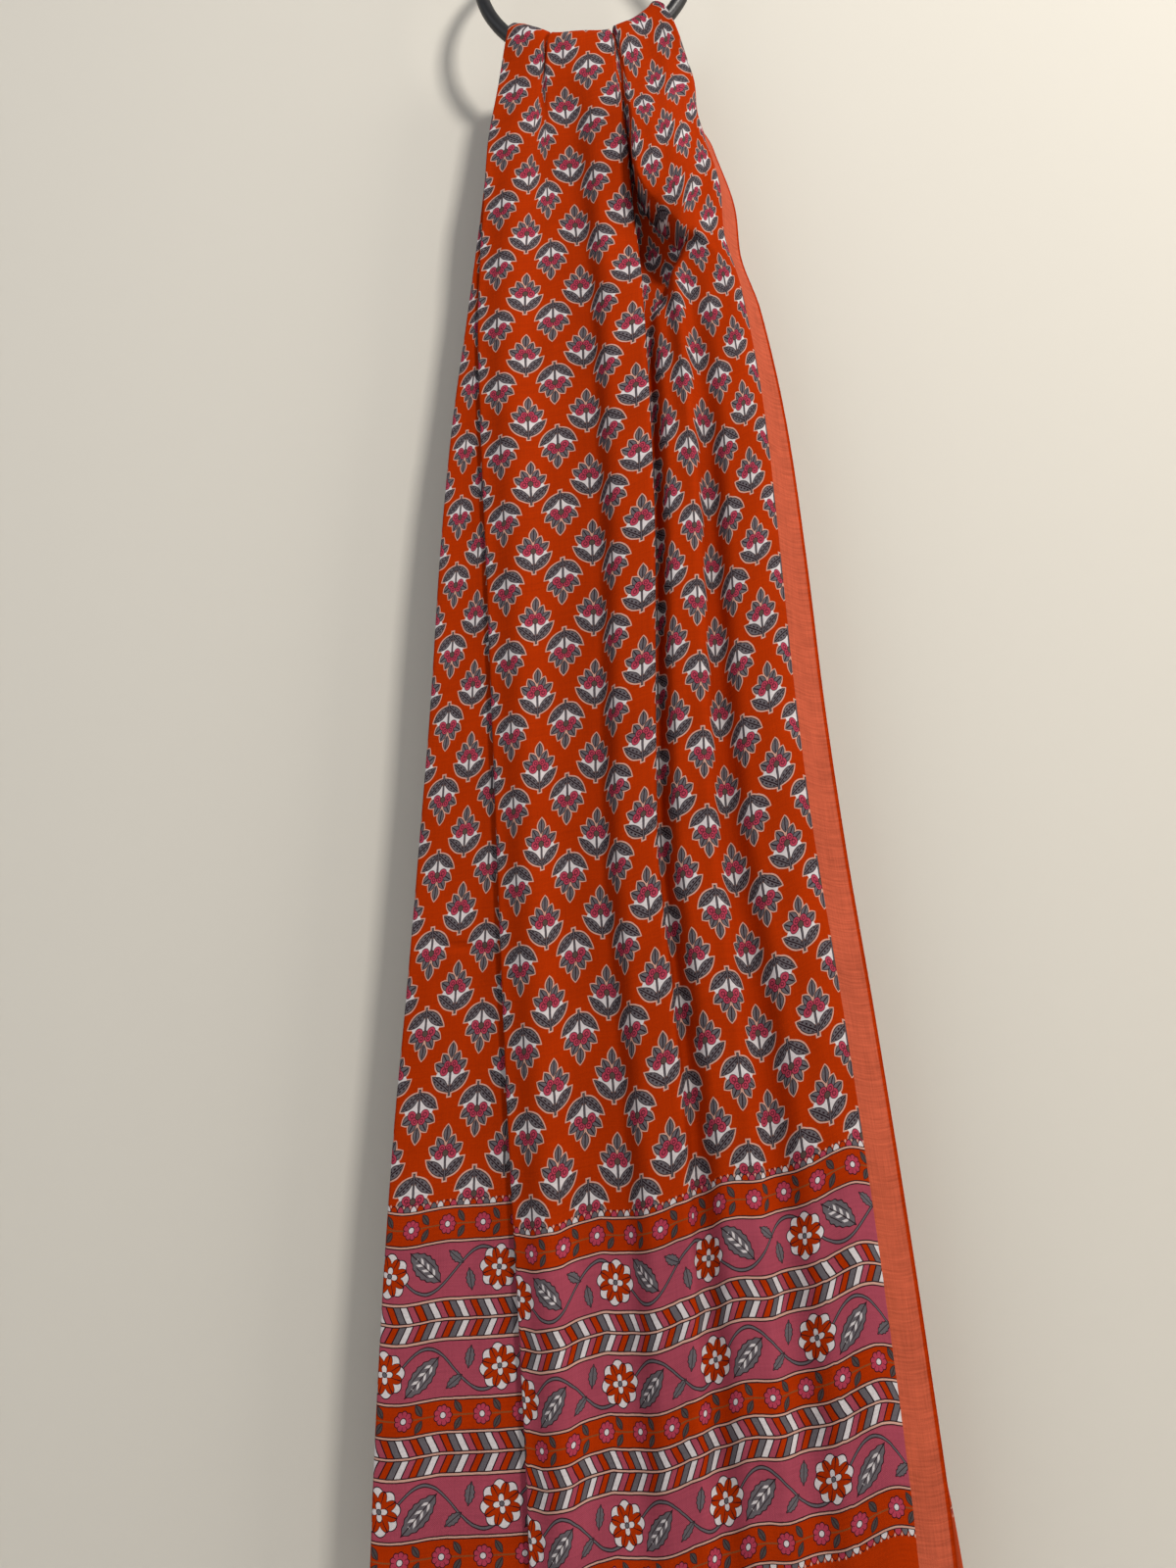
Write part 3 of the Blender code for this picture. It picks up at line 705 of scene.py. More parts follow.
def fall_grid(places, side, fold_share, inset, first_drop, lengths, phase):
    """Rows of points down a fall, and how long each strand is there."""
    fall = Fall(places, side, fold_share, inset)
    last = read_columns(lengths, fall.lengths, fall.drops)
    points, spent = [], []
    for share in row_shares():
        drops = first_drop + (last - first_drop) * share
        row = read_points(drops, fall.drops, fall.points)
        settled = blend((CREASE_AT_RING, 1.0), smooth_step(drops / SETTLE_DROP))
        row[:, 1] += side * settled * crease_height(places, drops, phase)
        points.append(row)
        spent.append(read_columns(drops, fall.drops, fall.lengths))
    return np.array(points), np.array(spent)


columns = cloth_columns()
print(len(columns), "columns")

# %% [markdown]
# The front fall and the stretch over the ring are one shell, and the back fall is another that
# starts where the first one ends. Over the ring the rows turn round the tube. Every strand there is
# counted with the same length, as the printed lines run straight across.

# %% Front fall, stretch over the ring and back fall


def wrap_grid(places, spent_before):
    """Rows of points round the ring's tube, from its front to its back."""
    points, along = [], []
    crease = CREASE_AT_RING * crease_height(places, np.zeros(len(places)), 0.0)
    for turn in np.linspace(math.pi / 2.0, -math.pi / 2.0, WRAP_STEPS + 1):
        row = wrap_row(places, turn)
        row[:, 1] -= crease * math.sin(turn)
        row[:, 2] += crease * math.cos(turn)
        points.append(row)
        along.append(spent_before + wrap_length() * (0.5 - turn / math.pi))
    return np.array(points), np.array(along)


def front_grid(places):
    length = front_length(places)
    fall, spent = fall_grid(places, -1.0, 1.0, 0.0, 0.0, length, 0.0)
    over, over_along = wrap_grid(places, length)
    back = Fall(places, 1.0, BACK_FOLD_SHARE, BACK_INSET)
    tail, tail_along = [], []
    for drop in np.linspace(0.0, WRAP_TAIL, TAIL_STEPS + 1)[1:]:
        drops = np.full(len(places), drop)
        row = read_points(drops, back.drops, back.points)
        row[:, 1] += CREASE_AT_RING * crease_height(places, drops, drop / WRAP_TAIL)
        tail.append(row)
        tail_along.append(length + wrap_length() + drop)
    points = np.concatenate([fall[::-1], over[1:], np.array(tail)])
    return points, np.concatenate([(length - spent)[::-1], over_along[1:], np.array(tail_along)])


def back_grid(places):
    before = front_length(places) + wrap_length()
    length = STOLE_LENGTH - before
    points, spent = fall_grid(places, 1.0, BACK_FOLD_SHARE, BACK_INSET, WRAP_TAIL, length, 1.0)
    return points, before + spent


def make_shell(name, points, along, places, outside):
    """A closed shell on a grid of points, with its place on the flat cloth as UV."""
    rows, count = along.shape
    mesh = bpy.data.meshes.new(name)
    corners = (np.arange(rows - 1)[:, None] * count + np.arange(count - 1)).reshape(-1, 1)
    faces = corners + np.array((0, 1, count + 1, count)[::1 if outside else -1])
    mesh.from_pydata(points.reshape(-1, 3).tolist(), [], faces.tolist())
    flat = np.stack([np.broadcast_to(places, along.shape), along], axis=2).reshape(-1, 2)
    corner_points = np.zeros(len(mesh.loops), dtype=np.int32)
    mesh.loops.foreach_get("vertex_index", corner_points)
    place = mesh.uv_layers.new(name="cloth_place")
    place.data.foreach_set("uv", flat[corner_points].astype(np.float32).reshape(-1))
    mesh.shade_smooth()
    shell = add_object(name, mesh)
    thickness = shell.modifiers.new("thickness", "SOLIDIFY")
    thickness.thickness = SHELL
    thickness.offset = 0.0
    thickness.material_offset = 1
    thickness.material_offset_rim = 0
    print(name, len(mesh.polygons) * 4, "triangles with its thickness")
    return shell


front_points, front_along = front_grid(columns)
back_points, back_along = back_grid(columns)
front_cloth = make_shell("front_cloth", front_points, front_along, columns, True)
back_cloth = make_shell("back_cloth", back_points, back_along, columns, False)

# %% [markdown]
# The print is drawn with nodes alone, from distances: each shape gives how far a point lies inside
# or outside its edge in millimetres, and a mask turns that into ink. A small class lets Python's
# own signs add the Math nodes, so that a shape reads like its formula.

# %% Maths on node sockets
INK_EDGE = 0.30


def wire(tree, kind, sockets=(), output=0, **settings):
    """Add a node and take one of its outputs as a wire."""
    return Wire(put(tree, kind, sockets, **settings).outputs[output])


class Wire:
    """A node's output. Signs between wires add Math nodes to their tree."""

    def __init__(self, socket):
        self.socket = socket
        self.tree = socket.id_data

    def maths(self, operation, *others, clamp=False):
        sockets = enumerate((self, *others))
        return wire(self.tree, "ShaderNodeMath", sockets, operation=operation, use_clamp=clamp)

    __add__ = partialmethod(maths, "ADD")
    __sub__ = partialmethod(maths, "SUBTRACT")
    __mul__ = partialmethod(maths, "MULTIPLY")
    __truediv__ = partialmethod(maths, "DIVIDE")
    __abs__ = partialmethod(maths, "ABSOLUTE")
    least = partialmethod(maths, "MINIMUM")
    most = partialmethod(maths, "MAXIMUM")
    above = partialmethod(maths, "GREATER_THAN")

    def __rsub__(self, other):
        return self.maths("MULTIPLY_ADD", -1.0, other)

    def wave(self, rate):
        return (self * rate).maths("COSINE")

    def repeated(self, start, period):
        """The distance from the nearest of many evenly spaced middles."""
        return (self - start).maths("WRAP", period / 2.0, -period / 2.0)

    def inside(self, edge=INK_EDGE):
        """A soft mask that is 1 where this distance is below zero."""
        return self.maths("MULTIPLY_ADD", -1.0 / edge, 0.5, clamp=True)


def split(place):
    """The two numbers of a place on the flat cloth."""
    node = put(place.tree, "ShaderNodeSeparateXYZ", {0: place})
    return Wire(node.outputs[0]), Wire(node.outputs[1])


def join(across, up):
    return wire(across.tree, "ShaderNodeCombineXYZ", {0: across, 1: up})


def distance(place, middle):
    return wire(place.tree, "ShaderNodeVectorMath", {0: place, 1: (*middle, 0.0)}, "Value", operation="DISTANCE")


def noise(place, scale, detail):
    return wire(place.tree, "ShaderNodeTexNoise", {"Scale": scale, "Detail": detail, "Vector": place}, "Fac")


def seen_from(place, middle, turn, length, width):
    """The place seen from a shape's own middle, along and across it, in halves of its size."""
    sockets = {"Vector": place, "Location": (*middle, 0.0), "Rotation": (0.0, 0.0, math.radians(turn)),
               "Scale": (length / 2.0, width / 2.0, 1.0)}
    return split(wire(place.tree, "ShaderNodeMapping", sockets, vector_type="TEXTURE"))


def leaf(place, middle_across, middle_up, turn, length, width):
    """A leaf pointed at both ends: its distance, and the place along and across it."""
    along, across = seen_from(place, (middle_across, middle_up), turn, length, width)
    return (along * along + abs(across) - 1.0) * (width / 2.0), along, across


def dye(red, green, blue):
    """A colour seen as 0 to 255 on a screen, as the linear colour that a shader wants."""
    shares = [part / 255.0 for part in (red, green, blue)]
    return (*[s / 12.92 if s <= 0.04045 else ((s + 0.055) / 1.055) ** 2.4 for s in shares], 1.0)


class Paint:
    """Colours laid over each other, each through a mask."""

    def __init__(self, tree, colour):
        self.tree = tree
        self.colour = colour

    def lay(self, colour, mask):
        sockets = {"Factor": mask, 6: self.colour, 7: colour}
        self.colour = wire(self.tree, "ShaderNodeMix", sockets, 2, data_type="RGBA")

    def ink(self, shape):
        """A shape in the dark key colour."""
        self.lay(KEY, shape.inside())

    def lay_outlined(self, colour, shape, line):
        """A shape with a thin dark rim inside its edge."""
        self.ink(shape)
        self.lay(colour, (shape + line).inside())

    def ink_vein(self, leaf_shape, aside, half_width, vein, short):
        """A dark vein down a leaf, which stops short of its tips."""
        self.ink((abs(aside) * half_width - vein).most(leaf_shape + short))


VECTOR, COLOUR, NUMBER = "NodeSocketVector", "NodeSocketColor", "NodeSocketFloat"


def make_group(name, inputs, outputs):
    """A shader node group: its tree and a wire for each input."""
    tree = bpy.data.node_groups.new(name, "ShaderNodeTree")
    for side, sockets in (("INPUT", inputs), ("OUTPUT", outputs)):
        for label, kind in sockets:
            tree.interface.new_socket(label, in_out=side, socket_type=kind)
    entry = tree.nodes.new("NodeGroupInput")
    return tree, [Wire(entry.outputs[label]) for label, _ in inputs]


def end_group(tree, *values):
    put(tree, "NodeGroupOutput", enumerate(values))
    print("group", tree.name, "has", len(tree.nodes), "nodes")
    return tree


def start_block(name):
    """A printing block: a group that lays its figure over the colour under it."""
    tree, (place, under) = make_group(name, (("Place", VECTOR), ("Under", COLOUR)), (("Colour", COLOUR),))
    return (place, *split(place), Paint(tree, under))


def use_group(tree, group, **values):
    """Place a group in a tree and feed its inputs by name."""
    return [Wire(socket) for socket in put(tree, "ShaderNodeGroup", values, node_tree=group).outputs]


# %% [markdown]
# Block printers use a few dye pastes: here orange, slate, pink and white, with a thin dark key
# line. The field motif is a buta, the sprig of a flower that stands in a cup of two leaves. Its two
# halves mirror each other, so the left half is folded onto the right one and drawn once. Every
# figure is given in millimetres from its own middle.

# %% Dyes and the sprig
ORANGE = dye(156, 43, 0)
SLATE = dye(92, 87, 92)
PINK = dye(160, 56, 76)
DEEP_PINK = dye(84, 24, 40)
BAND_PINK = dye(148, 64, 80)
WHITE = dye(194, 188, 190)
CREAM = dye(186, 144, 130)
KEY = dye(34, 18, 24)
OLIVE = dye(80, 66, 60)
TAN = dye(124, 66, 34)
LEAF_GREY = dye(70, 62, 62)
SALMON = dye(172, 80, 56)

# Columns: middle across, middle up, turn, length, width
CUP_LEAF = (6.5, -8.7, 40.0, 18.8, 6.9)
LOW_PETAL = (7.6, 2.0, 36.0, 10.6, 5.9)
HIGH_PETAL = (4.0, 6.0, 60.0, 10.0, 5.7)
TOP_PETAL = (0.6, 11.8, 85.0, 10.6, 5.5)
# Columns: middle, radius
FLORETS = (((4.8, -0.6), 3.3), ((2.6, 3.0), 2.7))
HEART_RADIUS = 2.3
VEIN = 0.36
KEY_LINE = 0.5
OUTLINE_WIDTH = 0.95

sprig_place, across, up, paint = start_block("buta_sprig")
half = join(abs(across), up)
stem = (abs(across) - 0.85).most(abs(up + 7.9) - 8.9)
cup, cup_along, cup_across = leaf(half, *CUP_LEAF)
low, high = leaf(half, *LOW_PETAL), leaf(half, *HIGH_PETAL)
top = leaf(sprig_place, *TOP_PETAL)
bowl_along, bowl_up = seen_from(sprig_place, (0.0, -3.6), 0.0, 21.5, 12.0)
bowl = ((bowl_along * bowl_along + bowl_up * bowl_up) - 1.0) * 5.0
whole = stem.least(cup).least(low[0]).least(high[0]).least(top[0])
paint.lay(CREAM, (whole - OUTLINE_WIDTH).least(bowl).inside())
paint.lay(WHITE, bowl.inside())
for shape, _, aside in (top, high, low):
    paint.lay_outlined(SLATE, shape, KEY_LINE)
    paint.ink_vein(shape, aside, 2.7, VEIN, 1.0)
paint.lay_outlined(SLATE, cup, KEY_LINE)
paint.ink_vein(cup, cup_across, 3.3, VEIN, 0.9)
dots = (abs(abs(cup_across) * 3.3 - 1.3) - 0.45).most(cup_along.wave(17.0) * 0.8)
paint.ink(dots.most(cup + 0.8))
paint.lay_outlined(SLATE, stem, KEY_LINE)
for middle, size in FLORETS:
    floret = distance(half, middle) - size
    paint.lay_outlined(PINK, floret, 0.35)
    paint.ink(abs(floret + size * 0.62) - 0.22)
paint.lay_outlined(OLIVE, distance(sprig_place, (0.0, 0.0)) - HEART_RADIUS, 0.4)
buta_sprig = end_group(paint.tree, paint.colour)

# %% [markdown]
# The border has its own blocks. The small flower is a rosette on a thin stalk, with a pair of
# leaves after it. The vine carries a large double flower, a serrated leaf and two small ones; its
# other bands use the same block turned over.

# %% Small flower and vine
SIDE_LEAF = (9.6, 4.6, 122.0, 8.6, 4.4)
VINE_PERIOD = 75.6
VINE_SWING = 12.6
VINE_TROUGH = 26.5
VINE_LEAF = (24.6, 3.2, -43.0, 30.0, 13.5)
LEAF_REACH, LEAF_SIDE = 14.7, 5.75
SMALL_LEAVES = ((45.6, 7.4, -36.0, 13.0, 6.0), (55.8, -6.0, -80.0, 13.5, 6.4))

flower_place, across, up, paint = start_block("small_flower")
side_leaf, _, side_across = leaf(join(across, abs(up)), *SIDE_LEAF)
radius = distance(flower_place, (0.0, 0.0))
petal_wave = abs(up.maths("ARCTAN2", across).wave(4.5))
petals = radius - (petal_wave * 0.9 + 5.3)
paint.lay(TAN, (abs(up) - 0.45).inside())
paint.lay_outlined(LEAF_GREY, side_leaf, 0.4)
paint.ink_vein(side_leaf, side_across, 2.2, 0.2, 0.8)
paint.lay_outlined(PINK, petals, 0.6)
gaps = (petal_wave * 2.2 - 0.45).most(3.2 - radius)
paint.lay(DEEP_PINK, gaps.most(petals + 0.4).inside())
paint.lay_outlined(WHITE, radius - 2.1, 0.5)
small_flower = end_group(paint.tree, paint.colour)

_, across, up, paint = start_block("vine")
path = (across - VINE_TROUGH).wave(2.0 * math.pi / VINE_PERIOD) * VINE_SWING
paint.lay_outlined(SLATE, (abs(up + path) - 1.25) * 0.8, 0.5)
onward = join(across.repeated(VINE_PERIOD / 2.0, VINE_PERIOD) + VINE_PERIOD / 2.0, up)
big, big_along, big_across = leaf(onward, *VINE_LEAF)
big_side = abs(big_across) * LEAF_SIDE
paint.lay_outlined(SLATE, big + big_along.wave(21.0) * 0.35, 0.65)
paint.ink((abs(big_side - 3.0) - 0.22).most(big + 2.4))
chevrons = (big_along * LEAF_REACH + abs(big_across) * 8.0).wave(1.15) * 1.6 + 0.4
paint.lay(WHITE, chevrons.most(big_side - 2.1).most(abs(big_along) * LEAF_REACH - 8.2).inside())
paint.ink_vein(big, big_across, LEAF_SIDE, 0.28, 1.0)
for place in SMALL_LEAVES:
    small, small_along, small_across = leaf(onward, *place)
    paint.lay_outlined(SLATE, small + small_along.wave(16.0) * 0.25, 0.55)
    paint.ink_vein(small, small_across, 3.0, 0.22, 0.9)
bloom = join(across.repeated(0.0, VINE_PERIOD), up)
bloom_across, bloom_up = split(bloom)
radius = distance(bloom, (0.0, 0.0))
angle = bloom_up.maths("ARCTAN2", bloom_across) + 0.12
petal_wave = abs(angle.wave(4.0))
paint.lay_outlined(WHITE, radius - (petal_wave * 2.6 + 11.2), 0.65)
inner = radius - (abs((angle + math.pi / 8.0).wave(4.0)) * 4.4 + 7.6)
paint.lay_outlined(ORANGE, inner, 0.6)
paint.ink((petal_wave * 4.0 - 0.5).most(inner).most(4.0 - radius))
paint.lay_outlined(WHITE, radius - (abs(angle.wave(2.0)) * 4.2 + 1.6), 0.6)
paint.lay_outlined(SLATE, radius - 1.7, 0.5)
vine = end_group(paint.tree, paint.colour)

# %% [markdown]
# Between them lie bands of slanted stripes that meet in a chevron, and a row of tiny domes ends
# the border on each side. A stripe's colour comes from its place in the repeat.

# %% Chevrons and domes
STRIPE_PERIOD = 18.9
CHEVRON_LEAN = 6.0
CHEVRON_HALF = 11.5
DOME_WIDTH = 4.7


def lay_stripes(paint, place, width, colours):
    """Colours in turn, each as wide as the last, with a thin dark line between them."""
    share = place.maths("WRAP", width * len(colours), 0.0) / width
    for turn, colour in enumerate(colours[1:], start=1):
        paint.lay(colour, share.above(float(turn)))
    paint.ink(abs(place.repeated(0.0, width)) - 0.45)


tree, (band_place,) = make_group("chevron", (("Place", VECTOR),), (("Colour", COLOUR),))
across, up = split(band_place)
paint = Paint(tree, SLATE)
lay_stripes(paint, across + abs(up) * (CHEVRON_LEAN / CHEVRON_HALF), STRIPE_PERIOD / 4.0,
            (SLATE, WHITE, BAND_PINK, ORANGE))
paint.ink(abs(up) - 1.2)
paint.lay(CREAM, (abs(up) - 0.5).inside())
chevron = end_group(tree, paint.colour)

_, across, up, paint = start_block("domes")
aside = across.repeated(0.0, DOME_WIDTH)
dome = (aside * aside * 0.52 + up - DOME_WIDTH) * 0.7
fill = Paint(paint.tree, ORANGE)
lay_stripes(fill, across + DOME_WIDTH / 2.0, DOME_WIDTH, (ORANGE, PINK, SLATE, WHITE))
paint.lay_outlined(fill.colour, dome, 0.45)
tooth = abs(across.repeated(DOME_WIDTH / 2.0, DOME_WIDTH)) * 1.6 + abs(up - 3.9) - 1.15
paint.lay(CREAM, tooth.inside())
domes = end_group(paint.tree, paint.colour)

# %% [markdown]
# The blocks are placed on the flat cloth by its own measures, in millimetres from the front fold
# and from the nearer hem. Rows of sprigs stand alternately upright and turned, half a step apart,
# so a diamond test finds the nearer one and the sprig is drawn once. The border's bands fold onto
# one band of each kind in the same way. A little noise moves the edges, as a hand-held block does.

# %% The printed cloth
COLUMN_STEP = 21.7
ROW_STEP = 51.8
TURNED_COLUMN = 19.0
FIRST_ROW = 286.0
BORDER_TOP = 253.0
BORDER_DEPTH = 206.0
DOME_ROW = 4.9
VINE_MIDDLES = (37.0, 93.5, 169.0)
VINE_HALF = 16.8
CHEVRON_MIDDLES = (65.5, 140.5)
FLOWER_MIDDLES = (10.0, 119.5, 196.0)
VINE_START = 3.0
FLOWER_START = 16.5
FLOWER_STEP = 25.2
STRIPE_START = 12.0
WOBBLE = 0.5
WOBBLE_SCALE = 160.0
EDGE_STRIPE = 2.6


def nearest_middle(depth, middles):
    """The middle of the band, of one kind, that a depth below the border's top belongs to."""
    pairs = zip(middles, middles[1:])
    steps = [depth.above((before + after) / 2.0) * (after - before) for before, after in pairs]
    return sum(steps[1:], steps[0]) + middles[0]


tree, (flat_place,) = make_group("block_print", (("Place", VECTOR),), (("Colour", COLOUR), ("Strip", NUMBER)))
across_m, along_m = split(flat_place)
wobble = (noise(join(across_m, along_m), WOBBLE_SCALE, 1.0) - 0.5) * WOBBLE
across = across_m * 1000.0 + wobble
along = along_m * 1000.0 + wobble
depth = BORDER_TOP - along.least((STOLE_LENGTH * 1000.0) - along)

upright_across = across.repeated(TURNED_COLUMN + COLUMN_STEP, 2.0 * COLUMN_STEP)
upright_up = along.repeated(FIRST_ROW, ROW_STEP)
turned = (abs(upright_across) / COLUMN_STEP + abs(upright_up) / (ROW_STEP / 2.0)).above(1.0)
turned_across = across.repeated(TURNED_COLUMN, 2.0 * COLUMN_STEP)
turned_up = along.repeated(FIRST_ROW - ROW_STEP / 2.0, ROW_STEP)
sprig_across = upright_across * (1.0 - turned) - turned_across * turned
sprig_up = upright_up * (1.0 - turned) - turned_up * turned
(field,) = use_group(tree, buta_sprig, Place=join(sprig_across, sprig_up), Under=ORANGE)

ground = Paint(tree, field)
ground.lay(ORANGE, depth.above(0.0))
flower_up = nearest_middle(depth, FLOWER_MIDDLES) - depth
flower_across = across.repeated(FLOWER_START, FLOWER_STEP)
(flowers,) = use_group(tree, small_flower, Place=join(flower_across, flower_up), Under=ORANGE)
ground.lay(flowers, depth.above(0.0) * (1.0 - depth.above(BORDER_DEPTH)))

vine_middle = nearest_middle(depth, VINE_MIDDLES)
turned_over = 1.0 - depth.above((VINE_MIDDLES[0] + VINE_MIDDLES[1]) / 2.0) * 2.0
vine_up = (vine_middle - depth) * turned_over
vine_edge = abs(vine_middle - depth) - VINE_HALF
(vines,) = use_group(tree, vine, Place=join(across - VINE_START, vine_up), Under=BAND_PINK)
ground.lay(vines, vine_edge.inside())

chevron_middle = nearest_middle(depth, CHEVRON_MIDDLES)
chevron_edge = abs(chevron_middle - depth) - CHEVRON_HALF
(stripes,) = use_group(tree, chevron, Place=join(across - STRIPE_START, chevron_middle - depth))
ground.lay(stripes, chevron_edge.inside())

outer_edge = abs(depth - BORDER_DEPTH / 2.0) - BORDER_DEPTH / 2.0
line = abs(vine_edge).least(abs(chevron_edge)).least(abs(outer_edge))
ground.ink(line - 1.2)
ground.lay(CREAM, (line - 0.5).inside())
(edging,) = use_group(tree, domes, Place=join(across, outer_edge), Under=ground.colour)
ground.lay(edging, (outer_edge - 1.0).above(0.0) * (1.0 - (outer_edge - DOME_ROW).above(0.0)))

strip = across.above(BAND_A * 1000.0).most(1.0 - across.above((EDGE_B + BAND_WIDTH) * 1000.0))
selvedge = (EDGE_A * 1000.0 - across).least(across - EDGE_B * 1000.0)
ground.lay(SALMON, strip)
ground.lay(ORANGE, (selvedge - EDGE_STRIPE).inside(0.8))
block_print = end_group(tree, ground.colour, strip)

# %% [markdown]
# Geometry Nodes make what follows a path: the ring's tube, the rolled hems, the stitches that hold
# them and the corded selvedges. Each tree has named inputs for its sizes. A helper lays a path
# through points, runs a tree on it, keeps the finished mesh and throws the path away.

# %% Helpers for Geometry Nodes
GEOMETRY, LENGTH, COUNT, MATERIAL = ("NodeSocketGeometry", "NodeSocketFloat", "NodeSocketInt",
                                     "NodeSocketMaterial")


def start_tree(name, inputs):
    """A tree with a path, named sizes and a material: the tree, its inputs and the path as a curve."""
    tree = bpy.data.node_groups.new(name, "GeometryNodeTree")
    for label, kind in (("Path", GEOMETRY), *inputs, ("Material", MATERIAL)):
        tree.interface.new_socket(label, in_out="INPUT", socket_type=kind)
    tree.interface.new_socket("Geometry", in_out="OUTPUT", socket_type=GEOMETRY)
    given = tree.nodes.new("NodeGroupInput").outputs
    return tree, given, put(tree, "GeometryNodeMeshToCurve", {"Mesh": given["Path"]})


def end_tree(tree, given, geometry):
    """Smooth and realize what the tree made, give it its material and send it out."""
    smooth = put(tree, "GeometryNodeSetShadeSmooth", {"Geometry": geometry})
    whole = put(tree, "GeometryNodeRealizeInstances", {"Geometry": smooth})
    painted = put(tree, "GeometryNodeSetMaterial", {"Geometry": whole, "Material": given["Material"]})
    put(tree, "NodeGroupOutput", {0: painted})
    print("tree", tree.name, "has", len(tree.nodes), "nodes")
    return tree


def applied_mesh(obj):
    """The plain mesh that an object's modifiers make."""
    mesh = bpy.data.meshes.new_from_object(obj.evaluated_get(bpy.context.evaluated_depsgraph_get()))
    obj.modifiers.clear()
    return mesh


def finish_shape(shape, mesh, merge):
    """Merge doubled points, turn the faces outwards and write the mesh."""
    bmesh.ops.remove_doubles(shape, verts=shape.verts, dist=merge)
    bmesh.ops.recalc_face_normals(shape, faces=shape.faces)
    shape.to_mesh(mesh)
    shape.free()


def grow(name, tree, points, values, closed=False, outwards=True):
    """Run a tree on a path through points and keep the mesh that comes out as a plain object."""
    count = len(points)
    edges = [(i, (i + 1) % count) for i in range(count if closed else count - 1)]
    mesh = bpy.data.meshes.new("path")
    mesh.from_pydata([tuple(point) for point in points], edges, [])
    path = add_object("path", mesh)
    modifier = path.modifiers.new("grow", "NODES")
    modifier.node_group = tree
    for item in tree.interface.items_tree:
        if item.name in values:
            modifier[item.identifier] = values[item.name]
    grown = add_object(name, applied_mesh(path))
    grown.data.name = name
    bpy.data.objects.remove(path)
    if outwards:
        shape = bmesh.new()
        shape.from_mesh(grown.data)
        finish_shape(shape, grown.data, 1e-7)
    print(name, "has", sum(len(face.vertices) - 2 for face in grown.data.polygons), "triangles")
    return grown


# %% [markdown]
# The ring set is steel with a black coat baked on. The ring is one round bar that passes through
# the knuckle of its post. Its tube is a circle swept round a circle.

# %% Black coat and ring
RING_STEPS = 160
TUBE_STEPS = 24
FIT_GAP = 0.0003


def object_place(tree):
    return wire(tree, "ShaderNodeTexCoord", output="Object")


def add_bump(shader, height, strength, reach):
    """Feed a height to the shader's normal through a Bump node."""
    bump = put(height.tree, "ShaderNodeBump", {"Strength": strength, "Distance": reach, "Height": height})
    feed(shader.inputs["Normal"], bump)


tree, (coat_place,) = make_group("baked_coat", (("Place", VECTOR),), (("Height", NUMBER), ("Gloss", NUMBER)))
baked_coat = end_group(tree, noise(coat_place, 900.0, 2.0), noise(coat_place, 45.0, 3.0) * 0.22 + 0.30)

black_metal, tree, shader = principled("black_metal", {"Base Color": dye(20, 20, 22)})
height, gloss = use_group(tree, baked_coat, Place=object_place(tree))
feed(shader.inputs["Roughness"], gloss)
add_bump(shader, height, 0.25, 0.0002)

tree, given, line = start_tree("swept_tube", (("Radius", LENGTH), ("Sides", COUNT)))
sizes = {"Resolution": given["Sides"], "Radius": given["Radius"]}
profile = put(tree, "GeometryNodeCurvePrimitiveCircle", sizes)
tube = put(tree, "GeometryNodeCurveToMesh", {"Curve": line, "Profile Curve": profile, "Fill Caps": True})
swept_tube = end_tree(tree, given, tube)


def ring_tube(name, radius):
    """A tube of this radius along the ring's middle line."""
    turns = np.linspace(0.0, 2.0 * math.pi, RING_STEPS, endpoint=False)
    sines, cosines = RING_RADIUS * np.sin(turns), RING_RADIUS * np.cos(turns)
    line = [(x, -RING_OFFSET, z - RING_RADIUS) for x, z in zip(sines, cosines)]
    sizes = {"Radius": radius, "Sides": TUBE_STEPS, "Material": black_metal}
    return grow(name, swept_tube, line, sizes, closed=True)


wall_ring = ring_tube("wall_ring", TUBE_RADIUS)

# %% [markdown]
# The plate, the post and its cross knuckle are turned parts, so each is a profile spun round its
# own axis, with small rounds where a tool would break the edge. The knuckle is joined to the post
# and bored with a tube a little wider than the ring's.

# %% Plate and post
LATHE_STEPS = 64
SHARP_ANGLE = math.radians(35.0)
# Each profile: radius and y, in mm
PLATE_PROFILE = ((0, 0), (26.5, 0), (27, -0.5), (27, -5.8), (26.6, -7.1), (25.6, -7.9), (24, -8), (0, -8))
POST_PROFILE = ((0, -8.3), (9.2, -8.3), (9.3, -9), (8.6, -9.7), (7.7, -10.5), (7.5, -12), (7.5, -50),
                (0, -50))
KNUCKLE_PROFILE = ((0, -9), (8.3, -9), (9.2, -8.6), (9.5, -7.8), (9.5, 7.8), (9.2, 8.6), (8.3, 9), (0, 9))


def turned_part(name, profile):
    """A solid spun round the Y axis from the points of a profile."""
    mesh = bpy.data.meshes.new(name)
    shape = bmesh.new()
    line = [shape.verts.new((radius / 1000.0, y / 1000.0, 0.0)) for radius, y in profile]
    edges = [shape.edges.new(pair) for pair in zip(line, line[1:])]
    bmesh.ops.spin(shape, geom=line + edges, cent=(0.0, 0.0, 0.0), axis=(0.0, 1.0, 0.0),
                   angle=2.0 * math.pi, steps=LATHE_STEPS, use_merge=True)
    finish_shape(shape, mesh, 1e-6)
    mesh.materials.append(black_metal)
    mesh.shade_smooth()
    mesh.set_sharp_from_angle(angle=SHARP_ANGLE)
    return add_object(name, mesh)


